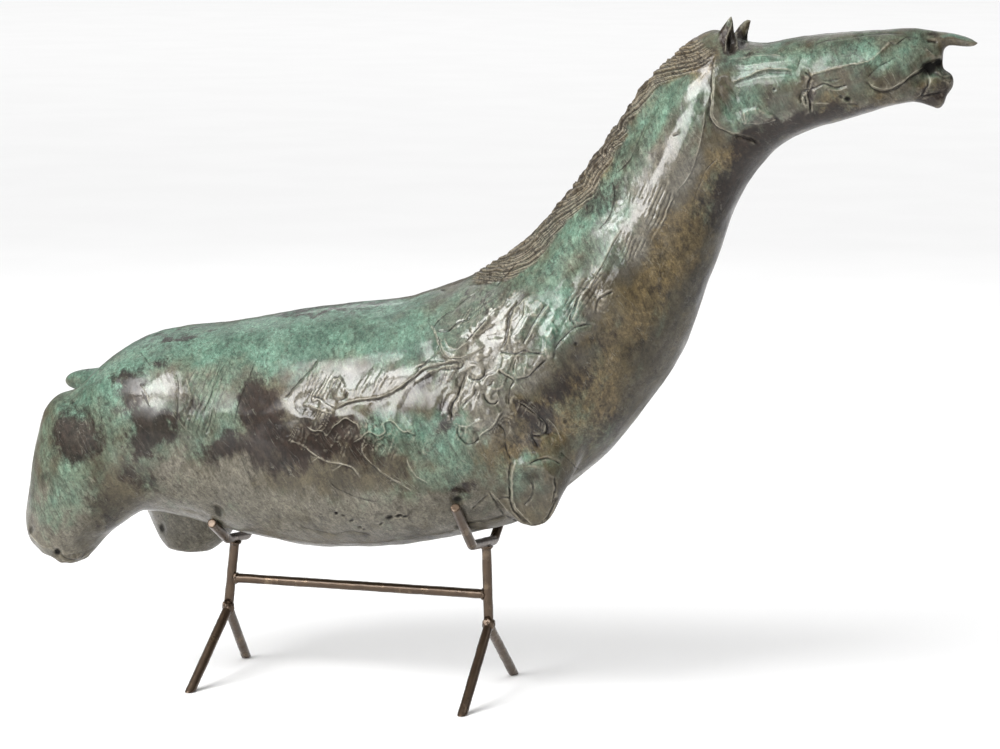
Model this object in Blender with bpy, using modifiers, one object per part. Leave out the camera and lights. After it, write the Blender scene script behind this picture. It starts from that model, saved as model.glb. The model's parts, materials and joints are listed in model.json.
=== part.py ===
"""Bronze horse, cast without its lower legs, lying in two cradles of a small welded bar stand.

The horse heads along +X and the floor is z = 0. The origin is on the floor, under the middle
of the whole work. The horse is a free form: its places and widths are shares of its own length,
measured from a datum that lies over the front frame, level with the bar of the front cradle.
The stand is round bar. Its posts, legs, crossbar and cradles follow the sizes below, and the
cradles are bent to the belly that they carry.
"""
import math

import bmesh
import bpy
import numpy as np
from mathutils import Quaternion, Vector
from mathutils.bvhtree import BVHTree

# Driving sizes, in metres
HORSE_LENGTH = 0.970        # what the shares are taken of; the softened body is 0.955 long
DATUM_HEIGHT = 0.155        # floor to the axis of the front cradle's bar
BAR = 0.010                 # diameter of the stand's bar
FRAME_SPACING = 0.290       # between the feet of the two frames
REAR_TRACK = 0.156          # between the near and the far foot of the rear frame
FRONT_TRACK = 0.176         # the same for the front frame
LEG_JOINT_HEIGHT = 0.0706   # floor to where the legs meet the post
REAR_JOINT_SHIFT = 0.0114   # how far the rear legs' joint is forward of their feet
REAR_POST_RAKE = 0.0084     # how far the rear post leans forward from there to its top
FRONT_POST_RAKE = -0.0024   # the same for the front post, which leans back a little
CROSSBAR_HEIGHT = 0.102     # floor to the axis of the crossbar
FRONT_CRADLE_WIDTH = 0.073  # between the two bends of the front cradle
REAR_CRADLE_WIDTH = 0.054   # the same for the rear cradle
FRONT_CRADLE_SHIFT = -0.0115  # the cradle's middle, sideways from its post
REAR_CRADLE_SHIFT = 0.006
FRONT_PRONG = 0.0725        # from a bend to the tip of its prong
REAR_PRONG = 0.049
CRADLE_BEND_RADIUS = 0.009  # of the bar's axis
CRADLE_ROLL = math.radians(7)  # both cradles lean, with the near bend up
REAR_CRADLE_DROP = 0.0125   # from the belly down to the axis of the rear cradle's bar
PRONG_BITE = 0.0015         # how deep a prong presses into the belly's outline
WELD_GAP = 0.0003           # between neighbouring solids
VOXEL_SHARE = 0.0040        # mesh cell of the fused clay, a share of the horse's length
SOFTENING = 8               # rounds of smoothing of the fused clay
HORSE_TRIANGLES = 8000
BAR_SIDES = 12
BEND_STEPS = 4
PRONG_SAMPLES = 24          # places along a prong where it is laid against the belly
POST_FOOT = 0.3             # where a post starts above the legs' joint, in bars
POST_HEAD = 0.25            # where it ends below the cradle's axis, in bars
CROSSBAR_END = 0.25         # where the crossbar ends inside a post's outline, in bars
RING_SIDES = 28

# Trunk, neck and head: crest x, crest z, keel x, keel z, half width, sideways shift,
# fullness of the upper and of the lower half (2 is round, more is squarer)
TRUNK_ROWS = (
    (-0.451, 0.116, -0.441, 0.056, 0.054, 0.000, 2.6, 2.3),
    (-0.432, 0.152, -0.424, 0.028, 0.084, 0.000, 2.6, 2.3),
    (-0.392, 0.188, -0.384, 0.017, 0.104, 0.000, 2.4, 2.3),
    (-0.346, 0.208, -0.344, 0.014, 0.110, 0.000, 2.1, 2.2),
    (-0.290, 0.216, -0.299, 0.006, 0.107, 0.000, 2.1, 2.2),
    (-0.240, 0.225, -0.246, -0.004, 0.107, 0.000, 2.1, 2.2),
    (-0.190, 0.236, -0.190, -0.011, 0.110, 0.000, 2.1, 2.3),
    (-0.141, 0.243, -0.137, -0.010, 0.114, 0.000, 2.1, 2.4),
    (-0.092, 0.249, -0.088, -0.005, 0.117, 0.000, 2.1, 2.5),
    (-0.055, 0.261, -0.045, 0.004, 0.118, 0.000, 2.0, 2.6),
    (-0.017, 0.275, 0.004, 0.016, 0.116, 0.000, 1.9, 2.6),
    (0.020, 0.294, 0.050, 0.030, 0.110, 0.000, 1.8, 2.5),
    (0.051, 0.316, 0.090, 0.066, 0.102, 0.000, 1.8, 2.3),
    (0.078, 0.347, 0.131, 0.101, 0.090, 0.000, 1.8, 2.2),
    (0.104, 0.379, 0.161, 0.140, 0.079, 0.000, 1.8, 2.2),
    (0.127, 0.413, 0.190, 0.180, 0.069, 0.000, 1.8, 2.2),
    (0.149, 0.445, 0.211, 0.220, 0.061, 0.000, 1.8, 2.2),
    (0.168, 0.473, 0.226, 0.263, 0.056, -0.001, 1.8, 2.2),
    (0.188, 0.492, 0.241, 0.305, 0.052, -0.002, 1.8, 2.2),
    (0.210, 0.512, 0.255, 0.345, 0.050, -0.003, 1.9, 2.2),
    (0.235, 0.529, 0.274, 0.382, 0.048, -0.004, 2.0, 2.2),
    (0.259, 0.519, 0.298, 0.410, 0.047, -0.006, 2.3, 2.3),
    (0.287, 0.515, 0.323, 0.426, 0.046, -0.009, 2.5, 2.4),
    (0.318, 0.522, 0.349, 0.436, 0.043, -0.013, 2.5, 2.4),
    (0.353, 0.526, 0.374, 0.443, 0.037, -0.018, 2.4, 2.3),
    (0.388, 0.529, 0.399, 0.452, 0.033, -0.023, 2.4, 2.3),
    (0.418, 0.531, 0.424, 0.459, 0.031, -0.027, 2.3, 2.3),
    (0.434, 0.529, 0.438, 0.463, 0.028, -0.029, 2.2, 2.2),
)

# Hind stumps: rear edge x, z, front edge x, z, half width, sideways place, two fullnesses
NEAR_THIGH_ROWS = (
    (-0.395, 0.150, -0.290, 0.090, 0.036, -0.046, 2.0, 2.0),
    (-0.451, 0.142, -0.311, 0.050, 0.052, -0.057, 2.1, 2.1),
    (-0.469, 0.096, -0.345, 0.031, 0.051, -0.061, 2.1, 2.1),
    (-0.477, 0.050, -0.371, 0.013, 0.046, -0.063, 2.0, 2.1),
    (-0.482, 0.019, -0.395, -0.004, 0.041, -0.064, 2.0, 2.1),
    (-0.481, -0.003, -0.412, -0.024, 0.034, -0.065, 2.0, 2.0),
    (-0.468, -0.020, -0.426, -0.036, 0.024, -0.065, 2.0, 2.0),
)
FAR_THIGH_ROWS = (
    (-0.390, 0.140, -0.280, 0.095, 0.036, 0.046, 2.0, 2.0),
    (-0.420, 0.080, -0.276, 0.050, 0.050, 0.056, 2.1, 2.1),
    (-0.408, 0.030, -0.290, 0.011, 0.050, 0.060, 2.1, 2.2),
    (-0.396, -0.001, -0.300, -0.008, 0.044, 0.061, 2.0, 2.2),
    (-0.389, -0.021, -0.308, -0.024, 0.038, 0.062, 2.0, 2.1),
    (-0.378, -0.039, -0.326, -0.040, 0.030, 0.063, 2.0, 2.0),
)

# Front stumps: each row is a ring's middle (x, y, z), its half length, and its slanting half height
# as (outward, upward)
NEAR_FORELEG_ROWS = (
    ((0.078, -0.044, 0.140), 0.044, (0.036, 0.008)),
    ((0.076, -0.058, 0.108), 0.041, (0.032, 0.020)),
    ((0.073, -0.074, 0.083), 0.034, (0.020, 0.029)),
    ((0.071, -0.090, 0.066), 0.029, (0.012, 0.036)),
)
FAR_FORELEG_ROWS = (
    ((0.050, 0.050, 0.130), 0.034, (0.034, 0.008)),
    ((0.044, 0.060, 0.095), 0.031, (0.030, 0.018)),
    ((0.040, 0.072, 0.066), 0.027, (0.022, 0.024)),
)

# Slim forms: places (x, y, z) along the middle with the half height and half width at each
TAIL_ROWS = (
    ((-0.420, 0.000, 0.144), 0.020, 0.020),
    ((-0.446, 0.000, 0.149), 0.012, 0.014),
    ((-0.461, 0.000, 0.146), 0.009, 0.011),
    ((-0.466, 0.000, 0.143), 0.005, 0.006),
)
NEAR_EAR_ROWS = (
    ((0.248, -0.022, 0.498), 0.014, 0.008),
    ((0.251, -0.024, 0.513), 0.012, 0.008),
    ((0.255, -0.026, 0.529), 0.009, 0.006),
    ((0.259, -0.027, 0.545), 0.003, 0.003),
)
FAR_EAR_ROWS = (
    ((0.250, 0.018, 0.500), 0.013, 0.008),
    ((0.254, 0.021, 0.514), 0.009, 0.008),
    ((0.258, 0.024, 0.526), 0.007, 0.006),
    ((0.265, 0.026, 0.538), 0.004, 0.004),
)
NOSE_ROWS = (
    ((0.400, -0.026, 0.518), 0.011, 0.016),
    ((0.432, -0.030, 0.523), 0.0105, 0.014),
    ((0.456, -0.033, 0.5235), 0.0080, 0.010),
    ((0.478, -0.035, 0.5225), 0.0065, 0.007),
    ((0.493, -0.036, 0.5195), 0.0055, 0.006),
    ((0.503, -0.036, 0.5175), 0.0030, 0.003),
)
UPPER_LIP_ROWS = (
    ((0.402, -0.034, 0.500), 0.014, 0.018),
    ((0.430, -0.037, 0.503), 0.021, 0.020),
    ((0.452, -0.036, 0.506), 0.017, 0.018),
    ((0.467, -0.035, 0.508), 0.009, 0.011),
)
LOWER_LIP_ROWS = (
    ((0.405, -0.028, 0.468), 0.014, 0.024),
    ((0.436, -0.031, 0.475), 0.012, 0.020),
    ((0.460, -0.033, 0.481), 0.011, 0.015),
    ((0.477, -0.034, 0.483), 0.009, 0.010),
)
CHIN_ROWS = (
    ((0.440, -0.031, 0.472), 0.010, 0.012),
    ((0.457, -0.033, 0.467), 0.009, 0.010),
    ((0.468, -0.034, 0.460), 0.007, 0.008),
)

# Carving lines on the flanks, as (x, z); every line is drawn on both sides unless a side is named
MANE_CREST = ((-0.017, 0.275), (0.020, 0.294), (0.062, 0.327), (0.093, 0.365), (0.124, 0.413),
              (0.165, 0.472), (0.205, 0.511), (0.242, 0.527))
JAW_EDGE = ((0.246, 0.510), (0.242, 0.479), (0.243, 0.447), (0.253, 0.433), (0.286, 0.421))
CHEEK_ARC = ((0.262, 0.477), (0.280, 0.487), (0.300, 0.491), (0.324, 0.492), (0.336, 0.484), (0.336, 0.452))
NOSE_RIDGE = ((0.342, 0.487), (0.366, 0.495), (0.399, 0.502), (0.418, 0.520))
NECK_BAND = ((0.236, 0.482), (0.217, 0.430), (0.202, 0.385), (0.178, 0.340), (0.158, 0.312))
MANE_FOOT = ((0.251, 0.512), (0.234, 0.495), (0.197, 0.475), (0.147, 0.408), (0.111, 0.358), (0.052, 0.285))
SHOULDER_SLAB = ((-0.027, 0.226), (-0.020, 0.206), (0.003, 0.205), (0.030, 0.241), (0.046, 0.262))
CHEST_SLAB = ((0.133, 0.245), (0.137, 0.216), (0.120, 0.195), (0.084, 0.188), (0.050, 0.170))
SHOULDER_TOE = ((-0.006, 0.150), (0.004, 0.137), (0.025, 0.134), (0.046, 0.153))
FLANK_RIDGE = ((-0.162, 0.124), (-0.120, 0.161), (-0.077, 0.181), (-0.030, 0.194))
FLANK_TEAR = ((-0.131, 0.110), (-0.115, 0.118), (-0.078, 0.124), (-0.025, 0.131))
HAUNCH_FOLD = ((-0.285, 0.185), (-0.268, 0.140), (-0.240, 0.105), (-0.210, 0.075))
# Casting holes and hollows of the near side: place (x, z), radius, depth
PITS = (
    ((0.074, 0.068), 0.020, 0.0035),
    ((0.003, 0.068), 0.006, 0.0050),
    ((-0.266, 0.031), 0.006, 0.0045),
    ((-0.445, -0.022), 0.005, 0.0030),
)
MIDDLE_FADE = 0.012         # half width of the strip along the middle plane where carving fades
END_FADE = 0.12             # share of a carving line over which each end fades
MANE_BASE = 0.35            # share of the mane's height that its locks stand on
NEAR, FAR = -1, 1


def clear_scene():
    """Remove every object, so that a second run starts from nothing."""
    for old in list(bpy.data.objects):
        bpy.data.objects.remove(old, do_unlink=True)


def collection(name):
    """A collection in the scene, made when it isn't there yet."""
    group = bpy.data.collections.get(name) or bpy.data.collections.new(name)
    if group.name not in bpy.context.scene.collection.children:
        bpy.context.scene.collection.children.link(group)
    return group


def material(name, color, roughness, metallic):
    """A Principled material of one plain finish."""
    finish = bpy.data.materials.get(name) or bpy.data.materials.new(name)
    finish.use_nodes = True
    shader = finish.node_tree.nodes["Principled BSDF"]
    shader.inputs["Base Color"].default_value = (*color, 1.0)
    shader.inputs["Roughness"].default_value = roughness
    shader.inputs["Metallic"].default_value = metallic
    return finish


def add_object(name, mesh, group, finish=None):
    """Put a mesh in a collection as an object."""
    made = bpy.data.objects.new(name, mesh)
    group.objects.link(made)
    if finish:
        mesh.materials.clear()
        mesh.materials.append(finish)
    return made


def bake_modifiers(piece):
    """Replace an object's mesh by its evaluated one and drop the modifiers."""
    depsgraph = bpy.context.evaluated_depsgraph_get()
    solid = bpy.data.meshes.new_from_object(piece.evaluated_get(depsgraph))
    piece.modifiers.clear()
    piece.data = solid


def spot(x, y, z):
    """A place on the horse, from shares of its length to metres."""
    return Vector((FRAME_SPACING + FRONT_POST_RAKE + x * HORSE_LENGTH, y * HORSE_LENGTH,
                   DATUM_HEIGHT + z * HORSE_LENGTH))


# Lofts of the horse

def smooth_rows(rows, steps=3):
    """Rows of numbers with more rows between them, on a Catmull-Rom curve."""
    table = np.array(rows, dtype=float)
    padded = np.vstack((2 * table[0] - table[1], table, 2 * table[-1] - table[-2]))
    dense = []
    for i in range(1, len(padded) - 2):
        before, start, end, after = padded[i - 1:i + 3]
        for k in range(steps):
            t = k / steps
            dense.append(0.5 * (2 * start + (end - before) * t
                                + (2 * before - 5 * start + 4 * end - after) * t ** 2
                                + (3 * start - before - 3 * end + after) * t ** 3))
    dense.append(padded[-2])
    return dense


def ring(middle, up, side, full_top=2.0, full_low=2.0):
    """A closed section: a superellipse with its own fullness above and below."""
    points = []
    for i in range(RING_SIDES):
        angle = 2 * math.pi * i / RING_SIDES
        rise, reach = math.cos(angle), math.sin(angle)
        power = 2 / (full_top if rise > 0 else full_low)
        points.append(middle + up * math.copysign(abs(rise) ** power, rise)
                      + side * math.copysign(abs(reach) ** power, reach))
    return points


def edge_rings(rows):
    """Sections that reach from one edge point to the other in the middle plane."""
    for x1, z1, x2, z2, half_width, shift, full_top, full_low in smooth_rows(rows):
        top, low = spot(x1, shift, z1), spot(x2, shift, z2)
        side = Vector((0, half_width * HORSE_LENGTH, 0))
        yield ring((top + low) / 2, (top - low) / 2, side, full_top, full_low)


def foreleg_rings(rows):
    """Sections of a front stump, turning from level to the slanting cut at its end."""
    for (x, y, z), half_length, (outward, upward) in rows:
        up = Vector((0, math.copysign(outward, y), upward)) * HORSE_LENGTH
        side = Vector((half_length * HORSE_LENGTH, 0, 0))
        yield ring(spot(x, y, z), up, side)


def slim_rings(rows):
    """Sections of a slim form, square to the line through their middles."""
    flat = smooth_rows([(*middle, tall, wide) for middle, tall, wide in rows])
    middles = [spot(*row[:3]) for row in flat]
    for i, row in enumerate(flat):
        ahead = (middles[min(i + 1, len(flat) - 1)] - middles[max(i - 1, 0)]).normalized()
        side = Vector((0, 1, 0)) - ahead * ahead.y
        side.normalize()
        up = side.cross(ahead)
        yield ring(middles[i], up * row[3] * HORSE_LENGTH, side * row[4] * HORSE_LENGTH)


def add_loft(shape, rings):
    """Skin a row of sections and close both ends."""
    skins = [[shape.verts.new(point) for point in points] for points in rings]
    for low, high in zip(skins, skins[1:]):
        for i in range(RING_SIDES):
            j = (i + 1) % RING_SIDES
            shape.faces.new((low[i], low[j], high[j], high[i]))
    shape.faces.new(reversed(skins[0]))
    shape.faces.new(skins[-1])


def fuse_horse(group):
    """Loft every form of the horse, then fuse and soften them as one body."""
    shape = bmesh.new()
    for rows in (TRUNK_ROWS, NEAR_THIGH_ROWS, FAR_THIGH_ROWS):
        add_loft(shape, edge_rings(rows))
    for rows in (NEAR_FORELEG_ROWS, FAR_FORELEG_ROWS):
        add_loft(shape, foreleg_rings(rows))
    for rows in (TAIL_ROWS, NEAR_EAR_ROWS, FAR_EAR_ROWS, NOSE_ROWS, UPPER_LIP_ROWS,
                 LOWER_LIP_ROWS, CHIN_ROWS):
        add_loft(shape, slim_rings(rows))
    bmesh.ops.recalc_face_normals(shape, faces=shape.faces)
    mesh = bpy.data.meshes.new("horse")
    shape.to_mesh(mesh)
    shape.free()
    horse = add_object("horse", mesh, group)
    remesh = horse.modifiers.new("fuse", "REMESH")
    remesh.mode = "VOXEL"
    remesh.voxel_size = VOXEL_SHARE * HORSE_LENGTH
    soften = horse.modifiers.new("soften", "SMOOTH")
    soften.factor = 0.5
    soften.iterations = SOFTENING
    bake_modifiers(horse)
    return horse


# Carving of the fused clay

class Clay:
    """The horse's points and normals, with tools that push the surface in or out."""

    def __init__(self, mesh):
        self.mesh = mesh
        count = len(mesh.vertices)
        self.points = np.empty(count * 3, dtype=np.float32)
        mesh.vertices.foreach_get("co", self.points)
        self.points = self.points.reshape(-1, 3).astype(float)
        normals = np.empty(count * 3, dtype=np.float32)
        mesh.vertices.foreach_get("normal", normals)
        self.normals = normals.reshape(-1, 3).astype(float)
        self.push = np.zeros(count)
        shares = (self.points - np.array(spot(0, 0, 0))) / HORSE_LENGTH
        self.flat = shares[:, (0, 2)]
        self.across = shares[:, 1]

    def side_weight(self, side):
        """1 on the flank that faces the named side, fading to 0 at the middle."""
        if side is None:
            return np.clip(np.abs(self.across) / MIDDLE_FADE, 0, 1)
        return np.clip(side * self.across / MIDDLE_FADE, 0, 1)

    def measure(self, line):
        """Distance to a line in the side view, the side of it, and 1 fading to 0 at its ends."""
        best = np.full(len(self.flat), np.inf)
        hand = np.zeros(len(self.flat))
        along = np.zeros(len(self.flat))
        walked = 0.0
        for start, end in zip(line, line[1:]):
            start, end = np.array(start), np.array(end)
            run = end - start
            length = np.hypot(*run)
            ahead = run / length
            offset = self.flat - start
            reach = np.clip(offset @ ahead, 0, length)
            gap = offset - reach[:, None] * ahead
            distance = np.hypot(gap[:, 0], gap[:, 1])
            closer = distance < best
            best[closer] = distance[closer]
            hand[closer] = np.sign(ahead[0] * offset[closer, 1] - ahead[1] * offset[closer, 0])
            along[closer] = walked + reach[closer]
            walked += length
        along /= walked
        ends = np.clip(np.minimum(along, 1 - along) / END_FADE, 0, 1)
        return best, hand, ends

    def ridge(self, line, width, height, side=None):
        """Raise (or, below zero, press) a soft strip along a line."""
        distance, _, ends = self.measure(line)
        self.push += height * np.exp(-(distance / width) ** 2) * ends * self.side_weight(side)

    def slab(self, line, reach, height, side=None):
        """Raise the left of a line as a slab edge that fades away from the line."""
        distance, hand, ends = self.measure(line)
        fade = np.clip(1 - distance / reach, 0, 1) ** 2
        raised = np.where(hand > 0, fade, 0) * ends
        self.push += height * raised * self.side_weight(side)

    def pit(self, place, radius, depth, side):
        """Press a round hollow."""
        distance = np.hypot(*(self.flat - np.array(place)).T)
        self.push -= depth * np.exp(-(distance / radius) ** 2) * self.side_weight(side)

    def locks(self, crest, foot_width, height, spacing, slant):
        """Raise the mane beside its crest and comb slanting locks into it."""
        distance, _, ends = self.measure(crest)
        band = np.clip(1 - (distance / foot_width) ** 2, 0, 1)
        comb = self.flat @ np.array([math.cos(slant), math.sin(slant)]) + np.abs(self.across)
        wave = (1 + np.sin(2 * math.pi * comb / spacing)) / 2
        self.push += height * band * ends * (MANE_BASE + (1 - MANE_BASE) * wave)

    def settle(self):
        """Move the points along their normals by what the tools have gathered."""
        moved = self.points + self.normals * (self.push * HORSE_LENGTH)[:, None]
        self.mesh.vertices.foreach_set("co", moved.astype(np.float32).ravel())
        self.mesh.update()


def carve_horse(horse):
    """Work the mane, head, neck band, shoulder slabs, flanks and casting holes."""
    clay = Clay(horse.data)
    clay.locks(MANE_CREST, foot_width=0.026, height=0.0036, spacing=0.017, slant=math.radians(105))
    clay.ridge(MANE_FOOT, width=0.006, height=-0.0022)
    clay.slab(JAW_EDGE, reach=0.040, height=0.0045)
    clay.ridge(JAW_EDGE, width=0.006, height=-0.0020)
    clay.ridge(CHEEK_ARC, width=0.004, height=-0.0018)
    clay.ridge(NOSE_RIDGE, width=0.005, height=0.0022)
    clay.ridge(NECK_BAND, width=0.022, height=0.0040)
    clay.slab(SHOULDER_SLAB, reach=0.045, height=0.0035)
    clay.slab(CHEST_SLAB, reach=0.040, height=-0.0022)
    clay.slab(SHOULDER_TOE, reach=0.050, height=0.0040)
    clay.ridge(FLANK_RIDGE, width=0.012, height=0.0030)
    clay.slab(FLANK_TEAR, reach=0.030, height=0.0024, side=NEAR)
    clay.ridge(HAUNCH_FOLD, width=0.020, height=-0.0030)
    for place, radius, depth in PITS:
        clay.pit(place, radius, depth, NEAR)
    clay.settle()
    thin = horse.modifiers.new("thin", "DECIMATE")
    thin.decimate_type = "COLLAPSE"
    thin.ratio = HORSE_TRIANGLES / (2 * len(horse.data.polygons))
    thin.use_collapse_triangulate = True
    bake_modifiers(horse)


# Bars of the stand

def straight_bar(name, start, end, group, clearance=0.0):
    """A round bar between two points, as a cylinder primitive; a clearance makes it fatter."""
    run = end - start
    radius = BAR / 2 + clearance
    shape = bmesh.new()
    bmesh.ops.create_cone(shape, cap_ends=True, segments=BAR_SIDES, radius1=radius,
                          radius2=radius, depth=run.length)
    mesh = bpy.data.meshes.new(name)
    shape.to_mesh(mesh)
    shape.free()
    turn = run.to_track_quat("Z", "Y").to_matrix().to_4x4()
    turn.translation = (start + end) / 2
    mesh.transform(turn)
    return add_object(name, mesh, group)


def bent_bar(name, corners, group, clearance=0.0):
    """A round bar through its corners, with a round bend at each inner one."""
    first_end = corners[0] + (corners[0] - corners[1]).normalized() * clearance
    last_end = corners[-1] + (corners[-1] - corners[-2]).normalized() * clearance
    path = [first_end]
    for before, corner, after in zip(corners, corners[1:], corners[2:]):
        inward, outward = (before - corner).normalized(), (after - corner).normalized()
        half = inward.angle(outward) / 2
        set_back = CRADLE_BEND_RADIUS / math.tan(half)
        center = corner + (inward + outward).normalized() * CRADLE_BEND_RADIUS / math.sin(half)
        first = corner + inward * set_back - center
        last = corner + outward * set_back - center
        turn = first.rotation_difference(last)
        for k in range(BEND_STEPS + 1):
            path.append(center + Quaternion(turn.axis, turn.angle * k / BEND_STEPS) @ first)
    path.append(last_end)
    curve = bpy.data.curves.new(name, "CURVE")
    curve.dimensions = "3D"
    curve.bevel_depth = BAR / 2 + clearance
    curve.bevel_resolution = 4
    curve.use_fill_caps = True
    spline = curve.splines.new("POLY")
    spline.points.add(len(path) - 1)
    for point, place in zip(spline.points, path):
        point.co = (*place, 1)
    guide = bpy.data.objects.new(name + "_route", curve)
    group.objects.link(guide)
    depsgraph = bpy.context.evaluated_depsgraph_get()
    mesh = bpy.data.meshes.new_from_object(guide.evaluated_get(depsgraph))
    bpy.data.objects.remove(guide, do_unlink=True)
    shape = bmesh.new()
    shape.from_mesh(mesh)
    bmesh.ops.remove_doubles(shape, verts=shape.verts, dist=1e-6)
    bmesh.ops.recalc_face_normals(shape, faces=shape.faces)
    shape.to_mesh(mesh)
    shape.free()
    mesh.name = name
    return add_object(name, mesh, group)


def box_cutter(name, x_ends, y_ends, z_ends, group):
    """A box between two ends along each axis."""
    shape = bmesh.new()
    bmesh.ops.create_cube(shape, size=1)
    for vert in shape.verts:
        vert.co = [sum(ends) / 2 + part * abs(ends[1] - ends[0])
                   for part, ends in zip(vert.co, (x_ends, y_ends, z_ends))]
    mesh = bpy.data.meshes.new(name)
    shape.to_mesh(mesh)
    shape.free()
    return add_object(name, mesh, group)


def cut(piece, cutter):
    """Take a cutter away from a piece."""
    cutter.hide_render = True
    cutter.display_type = "WIRE"
    modifier = piece.modifiers.new("cut_" + cutter.name, "BOOLEAN")
    modifier.operation = "DIFFERENCE"
    modifier.solver = "EXACT"
    modifier.object = cutter


class Frame:
    """The places of one frame of the stand, from its feet to the tips of its prongs."""

    def __init__(self, name, foot_x, track, joint_x, top):
        self.name = name
        self.feet = {side: Vector((foot_x, side * track / 2, 0)) for side in (NEAR, FAR)}
        self.joint = Vector((joint_x, 0, LEG_JOINT_HEIGHT))
        self.top = top

    def bend_cradle(self, width, shift, prong, belly):
        """The cradle's corners: near tip, near bend, far bend, far tip."""
        bends = []
        for side in (NEAR, FAR):
            across = shift + side * width / 2
            bends.append(self.top + Vector((0, across, -across * math.tan(CRADLE_ROLL))))
        tips = [self.prong_tip(bend, side, prong, belly) for side, bend in zip((NEAR, FAR), bends)]
        self.corners = [tips[0], *bends, tips[1]]

    def prong_tip(self, bend, side, length, belly):
        """Where a prong ends that leaves its bend and only grazes the belly's outline."""
        slopes = []
        for k in range(1, PRONG_SAMPLES + 1):
            start = Vector((bend.x, bend.y + side * length * k / PRONG_SAMPLES, 0))
            place, normal, _, _ = belly.ray_cast(start, Vector((0, 0, 1)))
            if place is None:
                continue
            axis = place + normal * (BAR / 2 - PRONG_BITE)
            slopes.append((axis.z - bend.z) / (side * (axis.y - bend.y)))
        ahead = Vector((0, side, min(slopes))).normalized()
        return bend + ahead * length


def belly_height(belly, x):
    """Height of the belly in the middle plane."""
    place, _, _, _ = belly.ray_cast(Vector((x, 0, 0)), Vector((0, 0, 1)))
    return place.z


def make_frame(frame, horse, parts, cutters):
    """Cradle, post and two legs of one frame, fitted to each other with a weld gap."""
    bent_bar(frame.name + "_cradle", frame.corners, parts)
    seat = bent_bar(frame.name + "_seat", frame.corners, cutters, WELD_GAP)
    cut(horse, seat)

    rise = (frame.top - frame.joint).normalized() * BAR
    post = straight_bar(frame.name + "_post", frame.joint + POST_FOOT * rise,
                        frame.top - POST_HEAD * rise, parts)
    cut(post, seat)
    for side, word in ((NEAR, "near"), (FAR, "far")):
        foot = frame.feet[side]
        run = (frame.joint - foot).normalized() * BAR
        leg_name = f"{frame.name}_{word}_leg"
        leg = straight_bar(leg_name, foot - run, frame.joint + run, parts)
        cut(post, straight_bar(leg_name + "_cope", foot, frame.joint + run, cutters, WELD_GAP))
        cut(leg, box_cutter(leg_name + "_miter", (-BAR, frame.joint.x + BAR),
                            (side * WELD_GAP / 2, -side * 2 * BAR), (0, frame.top.z), cutters))
        cut(leg, box_cutter(leg_name + "_floor", (-BAR, foot.x + BAR),
                            (foot.y - 2 * BAR, foot.y + 2 * BAR), (-2 * BAR, 0), cutters))


def make_crossbar(frames, parts, cutters):
    """The bar between the posts, coped to both."""
    ends = []
    for frame in frames:
        lift = (CROSSBAR_HEIGHT - frame.joint.z) / (frame.top.z - frame.joint.z)
        ends.append(frame.joint.lerp(frame.top, lift))
    inward = (ends[0] - ends[1]).normalized() * BAR * CROSSBAR_END
    crossbar = straight_bar("crossbar", ends[1] + inward, ends[0] - inward, parts)
    for frame in frames:
        cope = straight_bar(frame.name + "_post_cope", frame.joint, frame.top, cutters, WELD_GAP)
        cut(crossbar, cope)


def stand_on_origin(parts, cutters):
    """Hang everything on an empty, so that the origin is under the middle of the work."""
    depsgraph = bpy.context.evaluated_depsgraph_get()
    corners = []
    for piece in parts.objects:
        solid = piece.evaluated_get(depsgraph).to_mesh()
        corners += [piece.matrix_world @ vert.co for vert in solid.vertices]
        piece.evaluated_get(depsgraph).to_mesh_clear()
    low = [min(place[axis] for place in corners) for axis in range(3)]
    high = [max(place[axis] for place in corners) for axis in range(3)]
    middle = bpy.data.objects.new("middle_of_the_work", None)
    parts.objects.link(middle)
    for piece in list(parts.objects) + list(cutters.objects):
        if piece is not middle:
            piece.parent = middle
    middle.location = (-(low[0] + high[0]) / 2, -(low[1] + high[1]) / 2, -low[2])


def main():
    """Build the horse, lay both frames of the stand under it and centre the work."""
    clear_scene()
    parts = collection("bronze_horse")
    cutters = collection("cutters")
    bronze = material("patinated_bronze", (0.16, 0.25, 0.20), 0.35, 0.85)
    bar_bronze = material("brown_bar", (0.13, 0.09, 0.06), 0.42, 0.85)

    horse = fuse_horse(parts)
    carve_horse(horse)
    belly = BVHTree.FromObject(horse, bpy.context.evaluated_depsgraph_get())

    front_top = spot(0, 0, 0)
    rear_x = REAR_JOINT_SHIFT + REAR_POST_RAKE
    rear_top = Vector((rear_x, 0, belly_height(belly, rear_x) - REAR_CRADLE_DROP))
    front = Frame("front", FRAME_SPACING, FRONT_TRACK, FRAME_SPACING, front_top)
    rear = Frame("rear", 0, REAR_TRACK, REAR_JOINT_SHIFT, rear_top)
    front.bend_cradle(FRONT_CRADLE_WIDTH, FRONT_CRADLE_SHIFT, FRONT_PRONG, belly)
    rear.bend_cradle(REAR_CRADLE_WIDTH, REAR_CRADLE_SHIFT, REAR_PRONG, belly)
    frames = (front, rear)
    for frame in frames:
        make_frame(frame, horse, parts, cutters)
    make_crossbar(frames, parts, cutters)
    for piece in parts.objects:
        piece.data.materials.clear()
        piece.data.materials.append(bronze if piece is horse else bar_bronze)
    bpy.context.view_layer.update()
    stand_on_origin(parts, cutters)


main()
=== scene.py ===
"""Looks of the bronze horse on its bar stand: worked skin, patina, welds, floor, light and camera.

Carving, patina and the light and shade painted on it are placed in picture points: pixels of the
1000 x 749 photograph, seen by its camera. Each mark lands on the flank that faces the camera, and
through a mirror, more weakly, on the other one.
"""
import itertools
import json
import math

import bmesh
import bpy
import numpy as np
from mathutils import Matrix, Vector

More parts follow.
